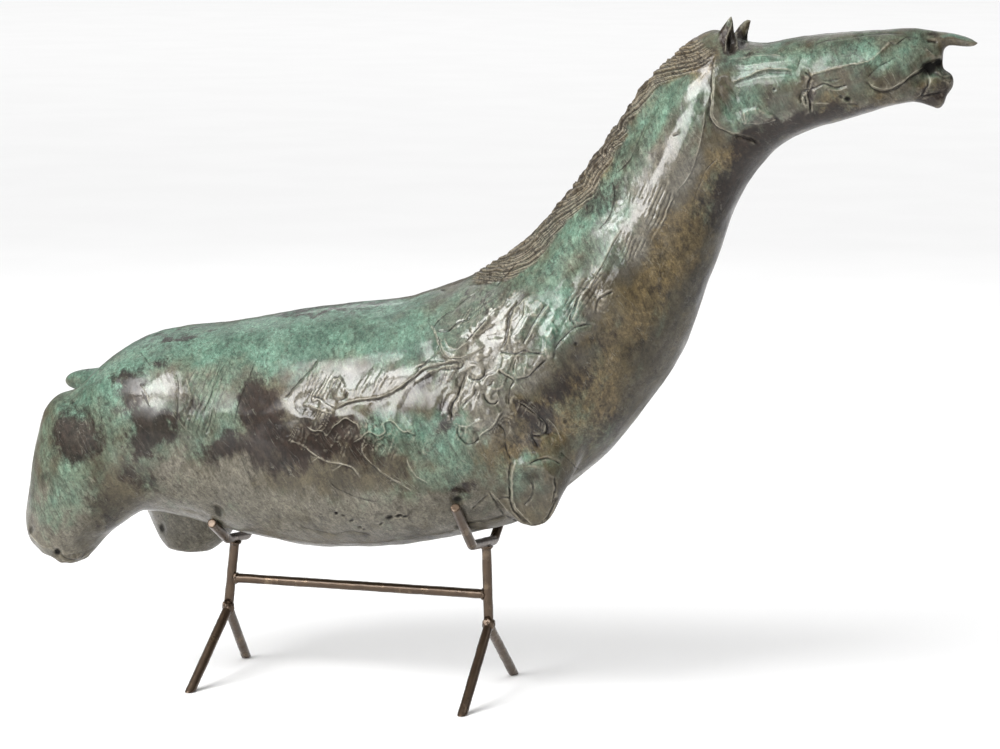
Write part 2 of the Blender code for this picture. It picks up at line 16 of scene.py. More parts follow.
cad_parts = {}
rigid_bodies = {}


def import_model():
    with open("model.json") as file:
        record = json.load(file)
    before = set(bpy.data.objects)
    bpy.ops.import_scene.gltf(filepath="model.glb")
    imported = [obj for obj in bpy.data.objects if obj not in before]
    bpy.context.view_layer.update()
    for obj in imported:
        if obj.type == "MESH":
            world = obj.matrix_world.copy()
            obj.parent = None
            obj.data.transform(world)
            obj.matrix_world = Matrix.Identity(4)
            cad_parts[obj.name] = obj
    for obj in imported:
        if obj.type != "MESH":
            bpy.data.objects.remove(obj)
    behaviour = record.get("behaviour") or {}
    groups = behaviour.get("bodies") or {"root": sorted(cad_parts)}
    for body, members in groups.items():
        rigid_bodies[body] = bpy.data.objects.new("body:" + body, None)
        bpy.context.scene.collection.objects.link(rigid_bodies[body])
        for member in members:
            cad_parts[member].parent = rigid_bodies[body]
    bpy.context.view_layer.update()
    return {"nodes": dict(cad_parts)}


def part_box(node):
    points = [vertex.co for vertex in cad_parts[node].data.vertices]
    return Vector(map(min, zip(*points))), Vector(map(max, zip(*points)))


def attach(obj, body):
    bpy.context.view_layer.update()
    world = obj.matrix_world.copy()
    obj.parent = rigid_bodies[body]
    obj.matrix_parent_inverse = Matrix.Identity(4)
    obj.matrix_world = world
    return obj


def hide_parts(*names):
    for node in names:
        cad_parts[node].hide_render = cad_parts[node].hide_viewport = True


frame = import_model()

# Camera: place in metres, angles in degrees, lens and sensor in mm, picture in pixels
EYE = (0.94766, -3.11122, 0.81756)
AZIMUTH, ELEVATION = 16.864, 8.626
LENS, SENSOR = 120, 36
WIDE, TALL = 1000, 749

# Skin
SKIN_CELL = 0.0012          # mesh cell before thinning
SKIN_TRIANGLES = 192000
BAR_CELL = 0.0009
MM = 0.001
NEAR_SEED, FAR_SEED = 21, 22
FAR_STRENGTH = 0.6          # depth of the marks on the far flank
NEAR_SWAY, FAR_SWAY = 0.7, 2.0  # how far a mark wavers, in pixels
SHARP = 2.5                 # narrower lines are also drawn by the material, in pixels
RIDGE_SHARE = 0.7           # of the given height of a raised line
CREST_X = (-0.01, 0.22)     # along the horse, where the mane's crest runs
CREST_HALF = 0.014          # half width of its matte strip
BEAD_SEED, WEAR_SEED = 40, 31
# Painted shade in cracks and a painted highlight along edges are drawn this wide
CRACK_SHADE_WIDTH, EDGE_HIGHLIGHT_WIDTH = 0.8, 0.65     # of the lines that the material draws, in pixels

# Surround: its strength at the horizon and overhead, and the heights that they hold at
SKY_LOW, SKY_HIGH = 0.12, 0.88
SKY_FROM, SKY_TO = 0.35, 0.8

# Soft boxes: name, azimuth, elevation, distance, width, height, power and the place that they face
MIDDLE, FAR_FLOOR = (0.0, 0.0, 0.36), (-4.0, 13.0, 0.0)
LIGHTS = (
    ("key", -37, 41, 3.2, 2.2, 1.1, 104, MIDDLE),
    ("low", -32, 17, 3.2, 2.2, 1.0, 76, MIDDLE),
    ("far", 0, 90, 7.0, 26.0, 22.0, 1060, FAR_FLOOR),
    ("front", 8, 9, 3.8, 0.8, 0.6, 9, MIDDLE),
    ("back", 190, 24, 3.6, 2.6, 0.6, 8, MIDDLE),
)
FLOOR_SIZE, FLOOR_DROP, FLOOR_GREY = 60, -0.0005, 0.90

# Places of the stand, in metres: x of each frame's feet, of its joint and of its top, and heights
FRONT_X, REAR_X = -0.00749, -0.29749
REAR_JOINT_X, REAR_TOP_X = REAR_X + 0.0114, REAR_X + 0.0198
MIDDLE_Y = 0.00073
JOINT_Z, CROSSBAR_Z, FRONT_TOP_Z = 0.0706, 0.102, 0.155

# Pressed lines: width in pixels, depth in mm, points
CRACKS = (
    (1.3, 2.2, ((511, 462), (508.5, 477), (509.5, 493), (512, 507), (520, 518), (531, 527))),
    (1.3, 1.6, ((528, 464), (537, 460), (548, 459), (561, 464))),
    (1.3, 2.0, ((555, 477), (556, 490), (553, 502), (557, 499), (549, 515), (541, 527))),
    (1.3, 2.0, ((489, 493), (493, 500), (499, 508), (505, 516))),
    (1.2, 1.6, ((489, 494), (480, 503), (472, 509))),
    (1.3, 1.8, ((505, 516), (490, 520), (470, 523), (455, 527))),
    (1.2, 1.6, ((505, 514), (515, 521), (527, 528))),
    (1.2, 1.2, ((528, 476), (533, 488), (531, 498), (524, 506))),
    (1.2, 1.0, ((497, 500), (507, 497), (510, 500))),
    (1.3, 1.6, ((729, 50), (730, 42), (732, 34))),
    (1.5, 1.6, ((713, 60), (712, 75), (711, 91), (709.6, 107), (710.2, 118), (717, 127), (732, 133.6))),
    (1.9, 5.0, ((734, 134), (744, 137.6), (752, 140), (758, 143))),
    (3.4, 1.3, ((721, 79), (728, 86), (735, 94), (738, 103))),
    (1.1, 0.4, ((735, 85), (742, 81.5), (751, 78.5), (762, 74.5), (776, 73), (792, 74))),
    (1.2, 0.9, ((801.5, 56), (799, 64), (797, 71))),
    (1.5, 2.2, ((804, 72), (810, 77), (808, 83), (807, 90), (801, 93), (800, 99), (802, 104))),
    (1.4, 2.0, ((808, 90), (809, 98), (809.5, 106), (810.5, 112))),
    (1.1, 1.2, ((804, 94), (805.5, 100), (806, 105))),
    (1.2, 1.3, ((811, 88.5), (817, 87), (824, 84.5), (831, 86), (837, 87), (848, 84))),
    (1.2, 0.7, ((823, 81.5), (834, 80), (844, 78))),
    (1.2, 0.7, ((814, 109), (822, 107.5), (831, 106.5))),
    (1.2, 0.8, ((815, 45.5), (826, 41), (839, 39.6), (857, 36.6), (883, 33.8), (906, 33.2))),
    (1.3, 1.1, ((865, 81), (873, 89), (884, 92.3), (896, 89.5), (907, 80), (917, 74), (926, 69))),
    (1.2, 0.5, ((896, 57), (888, 62), (877, 68), (868, 78))),
    (1.2, 0.9, ((889, 41), (893, 44.5), (897, 45), (903.8, 39.2), (910, 36.8), (918, 39))),
    (1.6, 2.0, ((926, 40), (931, 41.5), (938, 42.5))),
    (1.5, 1.8, ((922, 96), (925, 90), (928, 85), (928, 78))),
    (1.3, 1.5, ((919, 97), (927, 96), (936, 94), (942, 92))),
    (1.2, 0.8, ((611, 180), (615, 193), (612, 212), (608, 220), (598, 231))),
    (1.6, 0.8, ((647, 119), (639, 139), (629, 161), (616, 175))),
    (1.1, 0.5, ((717, 158), (707, 170), (699, 187), (693, 203))),
    (1.4, 1.3, ((672, 138), (676, 135.5), (680, 134))),
    (1.3, 1.0, ((655, 143), (658, 140))),
    (1.4, 1.4, ((614, 292), (601, 298), (597, 305), (595.5, 312))),
    (1.3, 1.4, ((586, 287), (579, 295), (574, 311), (570, 319), (575, 325))),
    (1.2, 1.1, ((592, 324), (585, 324.5), (577, 327), (570, 332), (557, 346), (553, 359))),
    (1.3, 1.5, ((526, 294), (515, 305), (509.5, 315), (507.5, 326), (505, 341), (501, 348))),
    (1.1, 0.9, ((546, 304), (535, 320), (528, 334), (523, 345))),
    (1.2, 1.3, ((499, 352), (515, 353.5), (524, 350), (531, 353), (544, 354))),
    (1.2, 1.3, ((498, 371), (509, 378), (513, 382), (510, 389), (509, 398), (509.5, 406))),
    (1.2, 1.2, ((516, 379), (530, 375), (539, 366), (545, 360))),
    (1.3, 1.6, ((483, 392), (484.5, 398), (489, 403), (495, 403.5), (498, 400))),
    (1.4, 1.7, ((468, 376), (473, 380), (479, 380), (484, 376), (485.5, 370))),
    (1.5, 2.2, ((466, 372), (463, 384), (458, 397), (452.5, 407), (451.5, 420))),
    (1.2, 1.2, ((457, 427), (457, 432), (461, 440), (468, 444), (476, 441), (479, 435))),
    (1.2, 0.9, ((476, 388), (473, 396), (467, 401), (464, 405))),
    (1.2, 1.0, ((433, 327), (443, 317), (457, 307), (470, 297), (480, 290))),
    (1.1, 0.9, ((438, 331), (448, 331), (458, 323), (470, 318))),
    (1.4, 1.2, ((465, 343), (470, 336), (478, 328), (487, 319))),
    (1.3, 1.3, ((512, 399), (520, 402), (531, 410), (541, 419), (547, 425), (547, 432), (540, 436),
                (531, 435))),
    (1.2, 0.9, ((532, 434), (534, 440), (540, 449))),
    (1.3, 1.2, ((496, 287), (503, 279), (512, 269), (520, 262))),
    (1.2, 0.8, ((468, 286), (480, 284.5), (497, 281.5))),
    (1.4, 0.7, ((336, 409), (345, 405.5), (356, 402.5), (370, 401.5), (383, 399.5), (393, 394),
                (402, 388.5), (416, 378.5), (425, 370.5), (440, 366))),
    (1.2, 1.1, ((440, 369), (452, 369.5), (461, 367.5), (464, 362))),
    (1.3, 1.1, ((346, 391), (345, 398), (338, 401))),
    (1.1, 1.0, ((310, 396), (320, 399), (334, 408))),
    (1.3, 1.3, ((406, 433), (412, 436), (416, 436))),
    (1.6, 0.9, ((331, 481), (337, 489), (351, 495), (367, 500), (380, 502))),
    (1.1, 0.7, ((281, 460), (285, 468), (289, 478))),
    (1.2, 0.9, ((284, 399), (297, 384), (311, 369), (317, 360))),
    (1.1, 0.8, ((140, 352), (145, 358), (151, 366))),
    (1.0, 0.4, ((177, 373), (178.5, 390), (178, 407), (176, 424))),
    (1.0, 0.5, ((221, 364), (214, 384), (209, 400), (203, 412))),
    (1.0, 0.4, ((260, 350), (250, 376), (239, 404), (234, 424))),
    (1.0, 0.6, ((213, 408), (210, 422), (206, 434))),
    (1.1, 0.6, ((141, 389), (146, 398), (150, 408))),
    (1.6, 0.8, ((300, 526), (330, 533), (352, 531), (372, 535))),
    (2.6, 1.2, ((168, 508), (185, 511), (206, 516))),
    (1.6, 1.1, ((50, 545), (62, 556), (78, 560), (86, 552))),
    (1.4, 1.0, ((436, 352), (440, 343), (438, 334))),
    (1.1, 0.8, ((415, 370), (423, 366), (432, 361), (440, 355))),
    (1.3, 0.9, ((400, 391), (418, 372), (428, 361), (440, 352))),
    (1.3, 1.0, ((498, 424), (505, 432), (506, 447), (511, 459))),
    (1.2, 0.9, ((560, 452), (571, 462), (579, 471))),
)

# Raised lines: width in pixels, height in mm, points
RIDGES = (
    (1.4, 1.4, ((516, 460), (512, 477), (512.5, 493), (516, 507), (523, 516), (532, 525))),
    (1.2, 1.0, ((491, 492), (497, 499), (503, 506), (508, 512))),
    (1.3, 1.2, ((726, 52), (725.5, 44), (727, 36), (730, 28), (732, 20))),
    (1.3, 1.2, ((737, 50), (737.5, 42), (736, 34), (733.5, 26))),
    (1.2, 1.0, ((742, 46), (744, 38), (748, 28))),
    (1.2, 0.9, ((744, 111), (743, 117), (744, 122.5), (758, 123.5), (768, 122.5), (777, 119.5))),
    (1.2, 1.0, ((733, 82.5), (741, 78), (751, 75), (759, 70.7), (772, 69), (783, 69), (793, 70.8))),
    (1.6, 0.9, ((729, 62), (732, 58), (742, 57.5), (751, 56), (766, 54.8), (782, 55.4))),
    (1.5, 1.3, ((809.5, 76), (816, 72.8), (830, 70), (845, 66.6), (860, 63.2), (870, 60.8), (881, 51.5),
                (887.5, 45), (890, 41.5))),
    (1.4, 1.0, ((715.5, 60), (714.5, 75), (714, 91), (713, 107), (713.5, 116), (719, 124))),
    (1.2, 0.7, ((827, 90), (837, 90), (848, 87.5))),
    (1.3, 0.8, ((814, 104), (822, 103), (830, 104))),
    (1.3, 1.0, ((802, 96), (803, 101), (806, 108))),
    (1.4, 0.9, ((924, 68), (928, 73), (930, 79))),
    (1.5, 0.9, ((707, 72), (703, 77), (698, 82))),
    (3.0, 1.0, ((712, 90), (706, 110), (704, 128), (706, 137), (700, 147), (690, 160))),
    (17.0, 0.4, ((706, 76), (699, 88), (691, 104), (680, 127), (672, 143), (667, 162), (664, 178),
                 (660, 194), (654, 211), (646, 228), (632, 250), (618, 272))),
    (5.0, 1.4, ((613, 246), (607, 262), (601, 276), (596, 290))),
    (1.5, 1.1, ((614, 289), (601, 295), (595, 304), (594, 314))),
    (1.4, 1.0, ((583, 290), (576, 299), (572, 311), (569, 318), (573, 324))),
    (1.3, 1.1, ((549, 304.5), (538, 320), (530, 334), (525, 346))),
    (1.5, 1.3, ((529, 295), (518, 306), (512.5, 315), (510.5, 326), (508, 341), (504, 349))),
    (1.3, 1.2, ((431, 325), (437, 339), (441, 350), (449, 359.5), (457, 360), (471, 355.5), (482, 350))),
    (1.3, 1.1, ((445, 339), (449, 347), (457, 349), (463, 346), (469, 339), (480, 328), (487, 321))),
    (1.3, 1.1, ((497, 374), (499, 369), (509, 376), (514, 380))),
    (1.2, 1.0, ((517, 357), (515.5, 366), (515, 377))),
    (1.2, 1.0, ((528, 356), (526, 366), (523, 375))),
    (1.2, 0.9, ((498, 386), (497, 394), (499, 402), (493, 406))),
    (1.4, 1.2, ((503, 411.5), (497, 420), (490, 429), (478, 437))),
    (1.2, 1.0, ((455, 424), (464, 427), (474, 422.5), (484, 420))),
    (1.4, 1.3, ((415, 382), (423, 377), (432, 370), (446, 366), (460, 366.5))),
    (1.2, 0.9, ((415, 369), (423, 365), (440, 362.5), (462, 360))),
    (1.4, 1.2, ((330, 391), (333, 383), (338, 379), (343, 384))),
    (1.1, 1.0, ((308, 404), (318, 409), (332, 413))),
    (1.4, 1.1, ((290, 440), (302, 445), (314, 454), (328, 461.5), (344, 464.5), (354, 469.5),
                (362, 479))),
    (1.1, 0.8, ((311, 462), (318, 458), (322, 456))),
    (1.2, 0.9, ((332, 471), (341, 466), (345, 464))),
    (1.2, 0.9, ((391, 479), (402, 485), (412, 491))),
    (1.2, 0.8, ((140, 384), (146, 392), (150, 402))),
    (1.3, 0.8, ((186, 378), (188, 386), (191, 396))),
    (1.6, 1.0, ((28, 530), (34, 539), (44, 547), (52, 548))),
    (2.4, 1.2, ((95, 548), (86, 556), (74, 561), (60, 560))),
    (1.3, 0.8, ((546, 416), (556, 428), (562, 442))),
)

# Broad hollows beside the neck's band and behind the jaw: width in pixels, depth in mm, points
VALLEYS = (
    (16.0, 1.2, ((678, 84), (664, 98), (651, 114), (641, 134), (633, 156), (622, 180), (608, 206), (593, 234),
                 (582, 260), (568, 282))),
    (5.0, 1.4, ((716, 84), (722, 98), (732, 112))),
    (12.0, 1.2, ((176, 424), (196, 440), (216, 452), (236, 470))),
)

# Slab edges: height in mm, reach in pixels, points; the slab is on the walker's right
STEPS = (
    (0.9, 40, ((707, 108), (704, 128), (702, 140), (697, 158), (690, 177), (675, 196), (659, 231))),
    (2.0, 18, ((744, 137), (732, 133.6), (717, 127), (710.4, 118), (710, 107), (711, 91), (712, 75),
               (716, 58))),
    (2.0, 24, ((941, 57), (936, 62), (925, 67), (918, 71.5), (904, 81), (893, 88), (883, 90),
               (873, 87), (866, 80))),
    (0.9, 14, ((870, 61.5), (845, 67.5), (830, 71), (816, 74), (808, 78))),
    (1.0, 12, ((793, 72), (783, 70.2), (772, 70.2), (759, 72), (751, 76), (741, 79.5), (733, 84))),
    (0.9, 16, ((800, 92), (806, 92), (808, 100), (810, 110))),
    (2.0, 22, ((462, 362), (439, 364.5), (424, 369.5), (415, 377), (401, 387), (392, 392.5), (382, 397.5),
               (369, 400), (351, 401.5), (336, 407.5))),
    (1.8, 22, ((486, 345), (481, 349), (471, 354.5), (457, 358.8), (449, 358), (442, 349), (438, 339),
               (432, 326))),
    (1.6, 20, ((503, 349), (507, 341), (509, 326), (512, 315), (517, 305), (529, 295))),
    (1.3, 14, ((572, 320), (575, 311), (580, 295), (587, 287))),
    (1.6, 24, ((505, 409), (497, 420), (490, 429), (478, 437))),
    (1.4, 18, ((452, 420), (452, 408), (457, 398), (462, 387), (466, 373))),
    (1.5, 12, ((358, 432), (357, 425), (352, 422.5), (344, 418.7), (335, 426), (327, 436.5), (322, 431.4),
               (313, 431.4), (305, 426))),
    (1.4, 12, ((415, 436), (408, 433), (401, 431.5), (392, 422.5), (385, 424), (386, 432.7), (377, 436.5),
               (369, 432.7), (361, 439), (353, 444))),
    (1.5, 26, ((404, 485), (391, 478.6), (378, 469.7), (365.5, 458), (361.6, 449), (364, 439))),
    (0.9, 14, ((429, 485), (418, 478.6), (409, 468), (405, 456))),
    (1.0, 14, ((362, 479), (354, 470), (344, 465), (328, 462), (314, 454.5), (302, 446))),
    (1.4, 10, ((516, 399), (526, 404), (537, 414), (546, 423), (546, 431), (540, 434.5))),
    (1.1, 18, ((622, 228), (612, 246), (600, 268), (590, 290))),
)

# Plates: height in mm, softness of the edge in pixels, corners
PLATES = (
    (1.5, 2.0, ((743, 111), (744, 123), (759, 123.6), (768, 122), (777, 119.6), (773, 114), (755, 107.5))),
    (1.3, 2.0, ((553, 328), (544, 336), (543.5, 347), (546, 359), (552, 357), (555, 341))),
    (1.2, 2.0, ((586, 288), (579, 296), (574, 311), (571, 318), (576, 325), (586, 323), (594, 312),
                (597, 298))),
    (1.4, 2.0, ((499, 352), (516, 353.5), (543, 354), (546, 359), (539, 365), (530, 376), (513, 380),
                (499, 372), (502, 360))),
    (1.6, 4.0, ((468, 363), (480, 362), (486, 368), (484, 378), (474, 379), (468, 372))),
    (1.6, 2.5, ((489, 386), (495, 386), (498, 395), (498, 403), (490, 403), (485, 395))),
    (1.2, 3.0, ((464, 431), (470, 429), (476, 433), (475, 441), (467, 442), (463, 437))),
    (1.0, 2.5, ((333, 379), (341, 378), (346, 388), (344, 399), (334, 398), (330, 389))),
    (-1.4, 3.0, ((512, 478), (520, 468), (540, 467), (553, 478), (556, 500), (550, 520), (538, 530),
                 (522, 522), (513, 503))),
    (1.5, 4.0, ((52, 556), (70, 556), (88, 552), (92, 557), (80, 564), (60, 563))),
)

# Hollows: place, radii along and across in pixels, tilt in degrees, depth in mm, strength of the painted
# shade inside
HOLLOWS = (
    (847.5, 99.5, 3.6, 3.0, 20, 2.6, 1.0), (841, 97, 2.2, 1.8, 0, 1.0, 0.5), (852, 105, 5, 1.2, 5, 0.7, 0.5),
    (774, 89, 1.8, 1.6, 0, 1.0, 0.8), (929, 68, 9, 8, 0, 5.5, 1.0), (938, 63, 5, 5, 0, 3.5, 1.0),
    (457.5, 500, 5, 4, 10, 2.0, 0.9), (218, 511, 4, 8, -30, 2.0, 0.75), (389.5, 518, 4.6, 2.2, -10, 2.4, 1.0),
    (399, 516, 4, 1.7, -14, 2.2, 1.0), (405, 516.5, 3.4, 1.3, -12, 1.8, 1.0),
    (381, 524, 3, 1.0, -30, 1.0, 0.7), (336, 513, 2.0, 1.6, 30, 1.6, 1.0),
    (343, 515, 2.4, 1.2, 20, 0.8, 0.6), (351, 520, 2.6, 1.2, -10, 1.2, 0.8),
    (359, 527, 2.6, 1.2, 20, 1.4, 0.9), (364, 529, 2.0, 1.0, 10, 0.8, 0.6), (531, 478, 10, 7, 0, 2.2, 0.0),
    (57, 552, 3.6, 3.0, 30, 2.6, 1.0), (162, 528, 3.0, 6.0, -15, 2.2, 0.8), (31, 530, 3, 5, 20, 1.2, 0.6),
    (462, 430, 2.0, 2.0, 0, 1.0, 0.6), (576, 344, 2.0, 2.4, 0, 1.0, 0.7), (443, 290, 2.4, 2.0, 0, 0.8, 0.6),
    (731, 42, 3.6, 10, 8, 3.0, 0.5), (744, 40, 3.0, 8, 25, 2.0, 0.9), (565, 421, 2.0, 2.4, 0, 0.8, 0.6),
    (44, 477, 3.5, 5.5, 10, 0.8, 0.5), (60, 418, 3.0, 2.4, 0, 0.6, 0.5), (107, 404, 3.0, 2.2, 0, 0.6, 0.5),
)

# Combed fields: depth in mm, spacing in pixels, direction in degrees above level, corners
COMBS = (
    (0.42, 4.0, 64, ((618, 236), (628, 204), (640, 184), (662, 180), (682, 174), (690, 178), (684, 194),
                     (668, 220), (654, 240), (640, 256), (622, 282), (604, 270))),
    (0.35, 4.2, 66, ((300, 372), (330, 362), (350, 372), (346, 392), (320, 404), (302, 402))),
    (0.40, 5.2, 68, ((350, 384), (372, 368), (400, 366), (424, 362), (400, 388), (372, 398), (350, 400))),
    (0.30, 4.4, 58, ((560, 300), (580, 280), (600, 262), (612, 270), (600, 296), (586, 320), (560, 330))),
    (0.28, 4.6, 55, ((518, 310), (540, 304), (530, 330), (520, 346), (508, 346))),
    (0.25, 4.2, 4, ((736, 60), (780, 57), (800, 60), (794, 68), (770, 67), (742, 76), (733, 80))),
    (0.28, 4.0, -42, ((716, 110), (730, 106), (742, 124), (734, 132), (720, 126))),
    (0.25, 5.0, 35, ((440, 318), (470, 296), (500, 286), (508, 300), (486, 318), (462, 332), (444, 336))),
    (0.25, 5.0, 62, ((330, 436), (352, 428), (372, 452), (360, 470), (336, 460))),
    (0.22, 5.0, 70, ((180, 372), (232, 352), (226, 420), (196, 440), (180, 430))),
)

# Torn clay: place, radii along and across in pixels, tilt in degrees, height of its ledges in mm
TORN = (
    (500, 345, 78, 50, 35, 1.5), (480, 410, 40, 36, 20, 1.1), (325, 402, 30, 16, 10, 1.6),
    (340, 438, 62, 20, 0, 1.1), (410, 444, 46, 24, -20, 0.8), (640, 236, 34, 60, 30, 0.8),
    (590, 290, 24, 44, 30, 1.0), (806, 95, 8, 22, 0, 1.2), (536, 425, 30, 28, -30, 0.9),
    (760, 116, 24, 10, 0, 0.8), (200, 400, 26, 40, 0, 0.5), (300, 380, 40, 30, 0, 0.5),
    (930, 84, 24, 16, 0, 1.0), (86, 556, 26, 8, 0, 0.9), (740, 36, 20, 22, 0, 0.6),
)

# Mane: the foot line from the poll down to the withers, and how its strands lie
MANE_FOOT = ((719, 50), (713, 57), (700, 68), (682, 76), (662, 85), (649, 96), (639, 111), (629, 124),
             (627, 134), (616, 150), (613, 161), (601, 178), (596, 193), (583, 207), (560, 229),
             (546, 250), (528, 268), (510, 279), (490, 283), (467, 284))
MANE_REACH, MANE_RISE = 38, 1.8             # in pixels and mm
STRAND_SPACING, STRAND_SLANT, STRAND_DEPTH = 4.3, 9, 1.05
MANE_NOTCHES = ((605, 143, 7), (579, 196, 8), (552, 232, 7), (645, 88, 6), (627, 112, 6), (529, 262, 8))

# Patina, with painted sheen, reflection and shade among its patches: colour layer and its patches: place,
# radii along and across in pixels, tilt in degrees, strength
GREEN, BROWN, GREY_AND_SHEEN, OCHRE = range(4)
PATCHES = (
    (GREEN, (
        (260, 330, 190, 36, 4, 0.55), (350, 330, 80, 32, 6, 0.45), (94, 390, 30, 34, 55, 0.40),
        (535, 490, 22, 28, 0, 0.25), (957, 40, 8, 5, 0, 0.8), (150, 350, 34, 18, 20, 0.6),
        (190, 342, 30, 14, 5, 0.5), (420, 430, 62, 22, 0, 0.8), (448, 470, 36, 26, 0, 0.5),
        (590, 230, 36, 90, -38, 0.42), (556, 320, 22, 40, -30, 0.75), (640, 130, 20, 80, -30, 0.32),
        (690, 110, 26, 40, -15, 0.36), (840, 58, 90, 18, 6, 0.32), (760, 66, 44, 14, 8, 0.35),
        (900, 62, 38, 20, -20, 0.4), (770, 98, 44, 26, 0, 0.35), (110, 440, 50, 60, 0, 0.40),
        (200, 430, 50, 30, 0, 0.35), (70, 520, 50, 40, 0, 0.25), (740, 105, 18, 26, 0, 0.45),
        (860, 92, 50, 10, 6, 0.2), (60, 470, 26, 60, 0, 0.3), (210, 400, 34, 40, 0, 0.35),
        (706, 200, 16, 40, -30, 0.35), (590, 390, 40, 22, 40, 0.15), (560, 450, 40, 22, 40, 0.15),
        (385, 490, 50, 16, 0, 0.2), (300, 350, 60, 20, 6, 0.35), (520, 470, 40, 24, 10, 0.2),
        (600, 420, 26, 40, 40, 0.10),
    )),
    (BROWN, (
        (150, 428, 24, 24, 0, 1.3), (86, 436, 26, 26, 30, 0.75), (124, 390, 12, 20, 10, 0.7),
        (162, 362, 10, 6, 0, 0.6), (264, 412, 26, 44, 20, 0.85), (214, 448, 16, 18, 0, 0.6),
        (176, 334, 36, 5, 8, 0.7), (330, 306, 100, 5, 6, 0.6), (190, 405, 14, 30, 20, 0.35),
        (64, 440, 14, 30, 10, 0.4), (252, 460, 40, 16, -30, 0.5), (610, 400, 60, 30, 40, 0.12),
        # The patch at (748, 165) is painted shade on the throat's shaded side
        (748, 165, 14, 50, -30, 0.5), (140, 384, 10, 24, 0, 0.5), (455, 500, 40, 12, 0, 0.25),
        (330, 432, 46, 22, 0, 0.95), (300, 455, 24, 14, 30, 0.6), (350, 456, 34, 16, 0, 0.4),
        (392, 462, 24, 20, 40, 0.2), (430, 380, 30, 10, 20, 0.6), (447, 414, 8, 20, -15, 0.8),
        (530, 414, 22, 12, -40, 0.9), (560, 380, 34, 24, 30, 0.55), (604, 330, 14, 30, -25, 0.5),
        (492, 308, 14, 9, 30, 0.6), (468, 292, 12, 6, 20, 0.6), (112, 520, 12, 34, 40, 0.7),
        (135, 482, 16, 16, 40, 0.5), (520, 436, 26, 16, 0, 0.5), (610, 440, 24, 50, 40, 0.35),
        (725, 250, 12, 90, -20, 0.75), (736, 36, 12, 24, 0, 1.1), (700, 60, 16, 7, 25, 0.45),
        (840, 112, 46, 10, 10, 0.6), (790, 128, 40, 12, 18, 0.8), (725, 185, 16, 60, -26, 0.5),
        (935, 36, 14, 6, 0, 0.6), (972, 43, 7, 6, 0, 1.6), (940, 86, 14, 12, 0, 0.6),
        (872, 76, 8, 8, 0, 0.5), (940, 68, 12, 10, 0, 0.6), (806, 92, 6, 16, 0, 0.7),
        (600, 150, 8, 60, -38, 0.4), (602, 205, 26, 100, -38, 0.36), (932, 96, 16, 12, 0, 0.9),
        (460, 494, 14, 7, 0, 0.5), (660, 330, 30, 60, -35, 0.25), (400, 540, 60, 6, 0, 0.3),
        (640, 210, 4, 30, -25, 0.2),
    )),
    # Partly grey patina; the patches on the shoulder slabs, along the neck's band, on the flank's streak, the
    # haunch and the jaw plate are painted sheen, and those under the belly are the pale floor's painted
    # reflection
    (GREY_AND_SHEEN, (
        (300, 510, 120, 24, 0, 0.55), (210, 480, 60, 34, 0, 0.6), (60, 520, 34, 40, 0, 0.55),
        (420, 510, 80, 20, 0, 0.4), (455, 400, 22, 30, 10, 0.6), (470, 330, 40, 34, 20, 0.6),
        (500, 350, 40, 40, 0, 0.7), (480, 410, 24, 24, 0, 0.8), (650, 200, 24, 60, -30, 0.9),
        (510, 330, 40, 50, -30, 0.4), (660, 140, 18, 40, -30, 0.4), (320, 390, 40, 16, 20, 0.5),
        (400, 375, 40, 12, 15, 0.6), (190, 530, 40, 20, 0, 0.5), (160, 385, 22, 20, 0, 0.45),
        (750, 115, 40, 14, 0, 0.45), (690, 150, 16, 40, -20, 0.35), (200, 400, 20, 34, 0, 0.4),
        (585, 300, 12, 20, -20, 0.5),
    )),
    (OCHRE, (
        (676, 250, 24, 50, -30, 0.85), (716, 170, 20, 40, -25, 0.5), (570, 410, 64, 34, 30, 0.85),
        (620, 330, 30, 50, -35, 0.45), (680, 68, 44, 18, 30, 0.8), (600, 170, 12, 90, -40, 0.7),
        (540, 268, 40, 8, 20, 0.55), (850, 100, 50, 12, 5, 0.55), (480, 460, 60, 20, 0, 0.3),
        (436, 436, 20, 5, 0, 0.5), (650, 300, 20, 40, -30, 0.4), (918, 82, 10, 10, 0, 0.4),
    )),
)

# Gloss of the wax: place, radii along and across in pixels, tilt in degrees, strength
SHINE = (
    (158, 386, 20, 16, 20, 1.3), (762, 116, 18, 6, 0, 0.8), (218, 374, 34, 24, 0, -0.35),
    (310, 400, 34, 16, 10, 0.9), (385, 388, 56, 20, 18, 1.0), (470, 320, 46, 30, 30, 0.8),
    (520, 330, 36, 46, -20, 0.9), (575, 315, 20, 40, -20, 1.0), (470, 405, 34, 36, 0, 0.8),
    (665, 146, 14, 80, -27, 1.1), (638, 220, 20, 50, -27, 1.1), (606, 275, 16, 40, -28, 0.8),
    (672, 200, 20, 40, -27, 0.6), (690, 140, 14, 40, -10, 0.4), (770, 95, 60, 40, 0, 0.25),
    (850, 66, 60, 12, 6, -0.1), (960, 40, 20, 8, 0, 0.8), (690, 66, 40, 16, 30, 0.4),
    (600, 170, 14, 110, -40, -0.15), (540, 425, 30, 20, 0, 0.3), (535, 500, 30, 30, 0, 0.2),
    (876, 78, 12, 12, 0, -0.5), (75, 430, 40, 50, 0, -0.7), (262, 400, 26, 26, 0, -0.5),
    (584, 208, 22, 110, -38, -0.9), (654, 108, 12, 50, -32, -0.8), (850, 46, 80, 10, 4, -0.5),
    (240, 360, 60, 24, 0, -0.25), (560, 270, 20, 40, -38, -0.6), (700, 45, 30, 10, 30, -0.3),
    (630, 130, 12, 40, -30, -0.6), (350, 440, 60, 24, 0, -0.5), (150, 428, 30, 20, 0, -0.3),
    (840, 50, 60, 8, 4, -0.3),
)


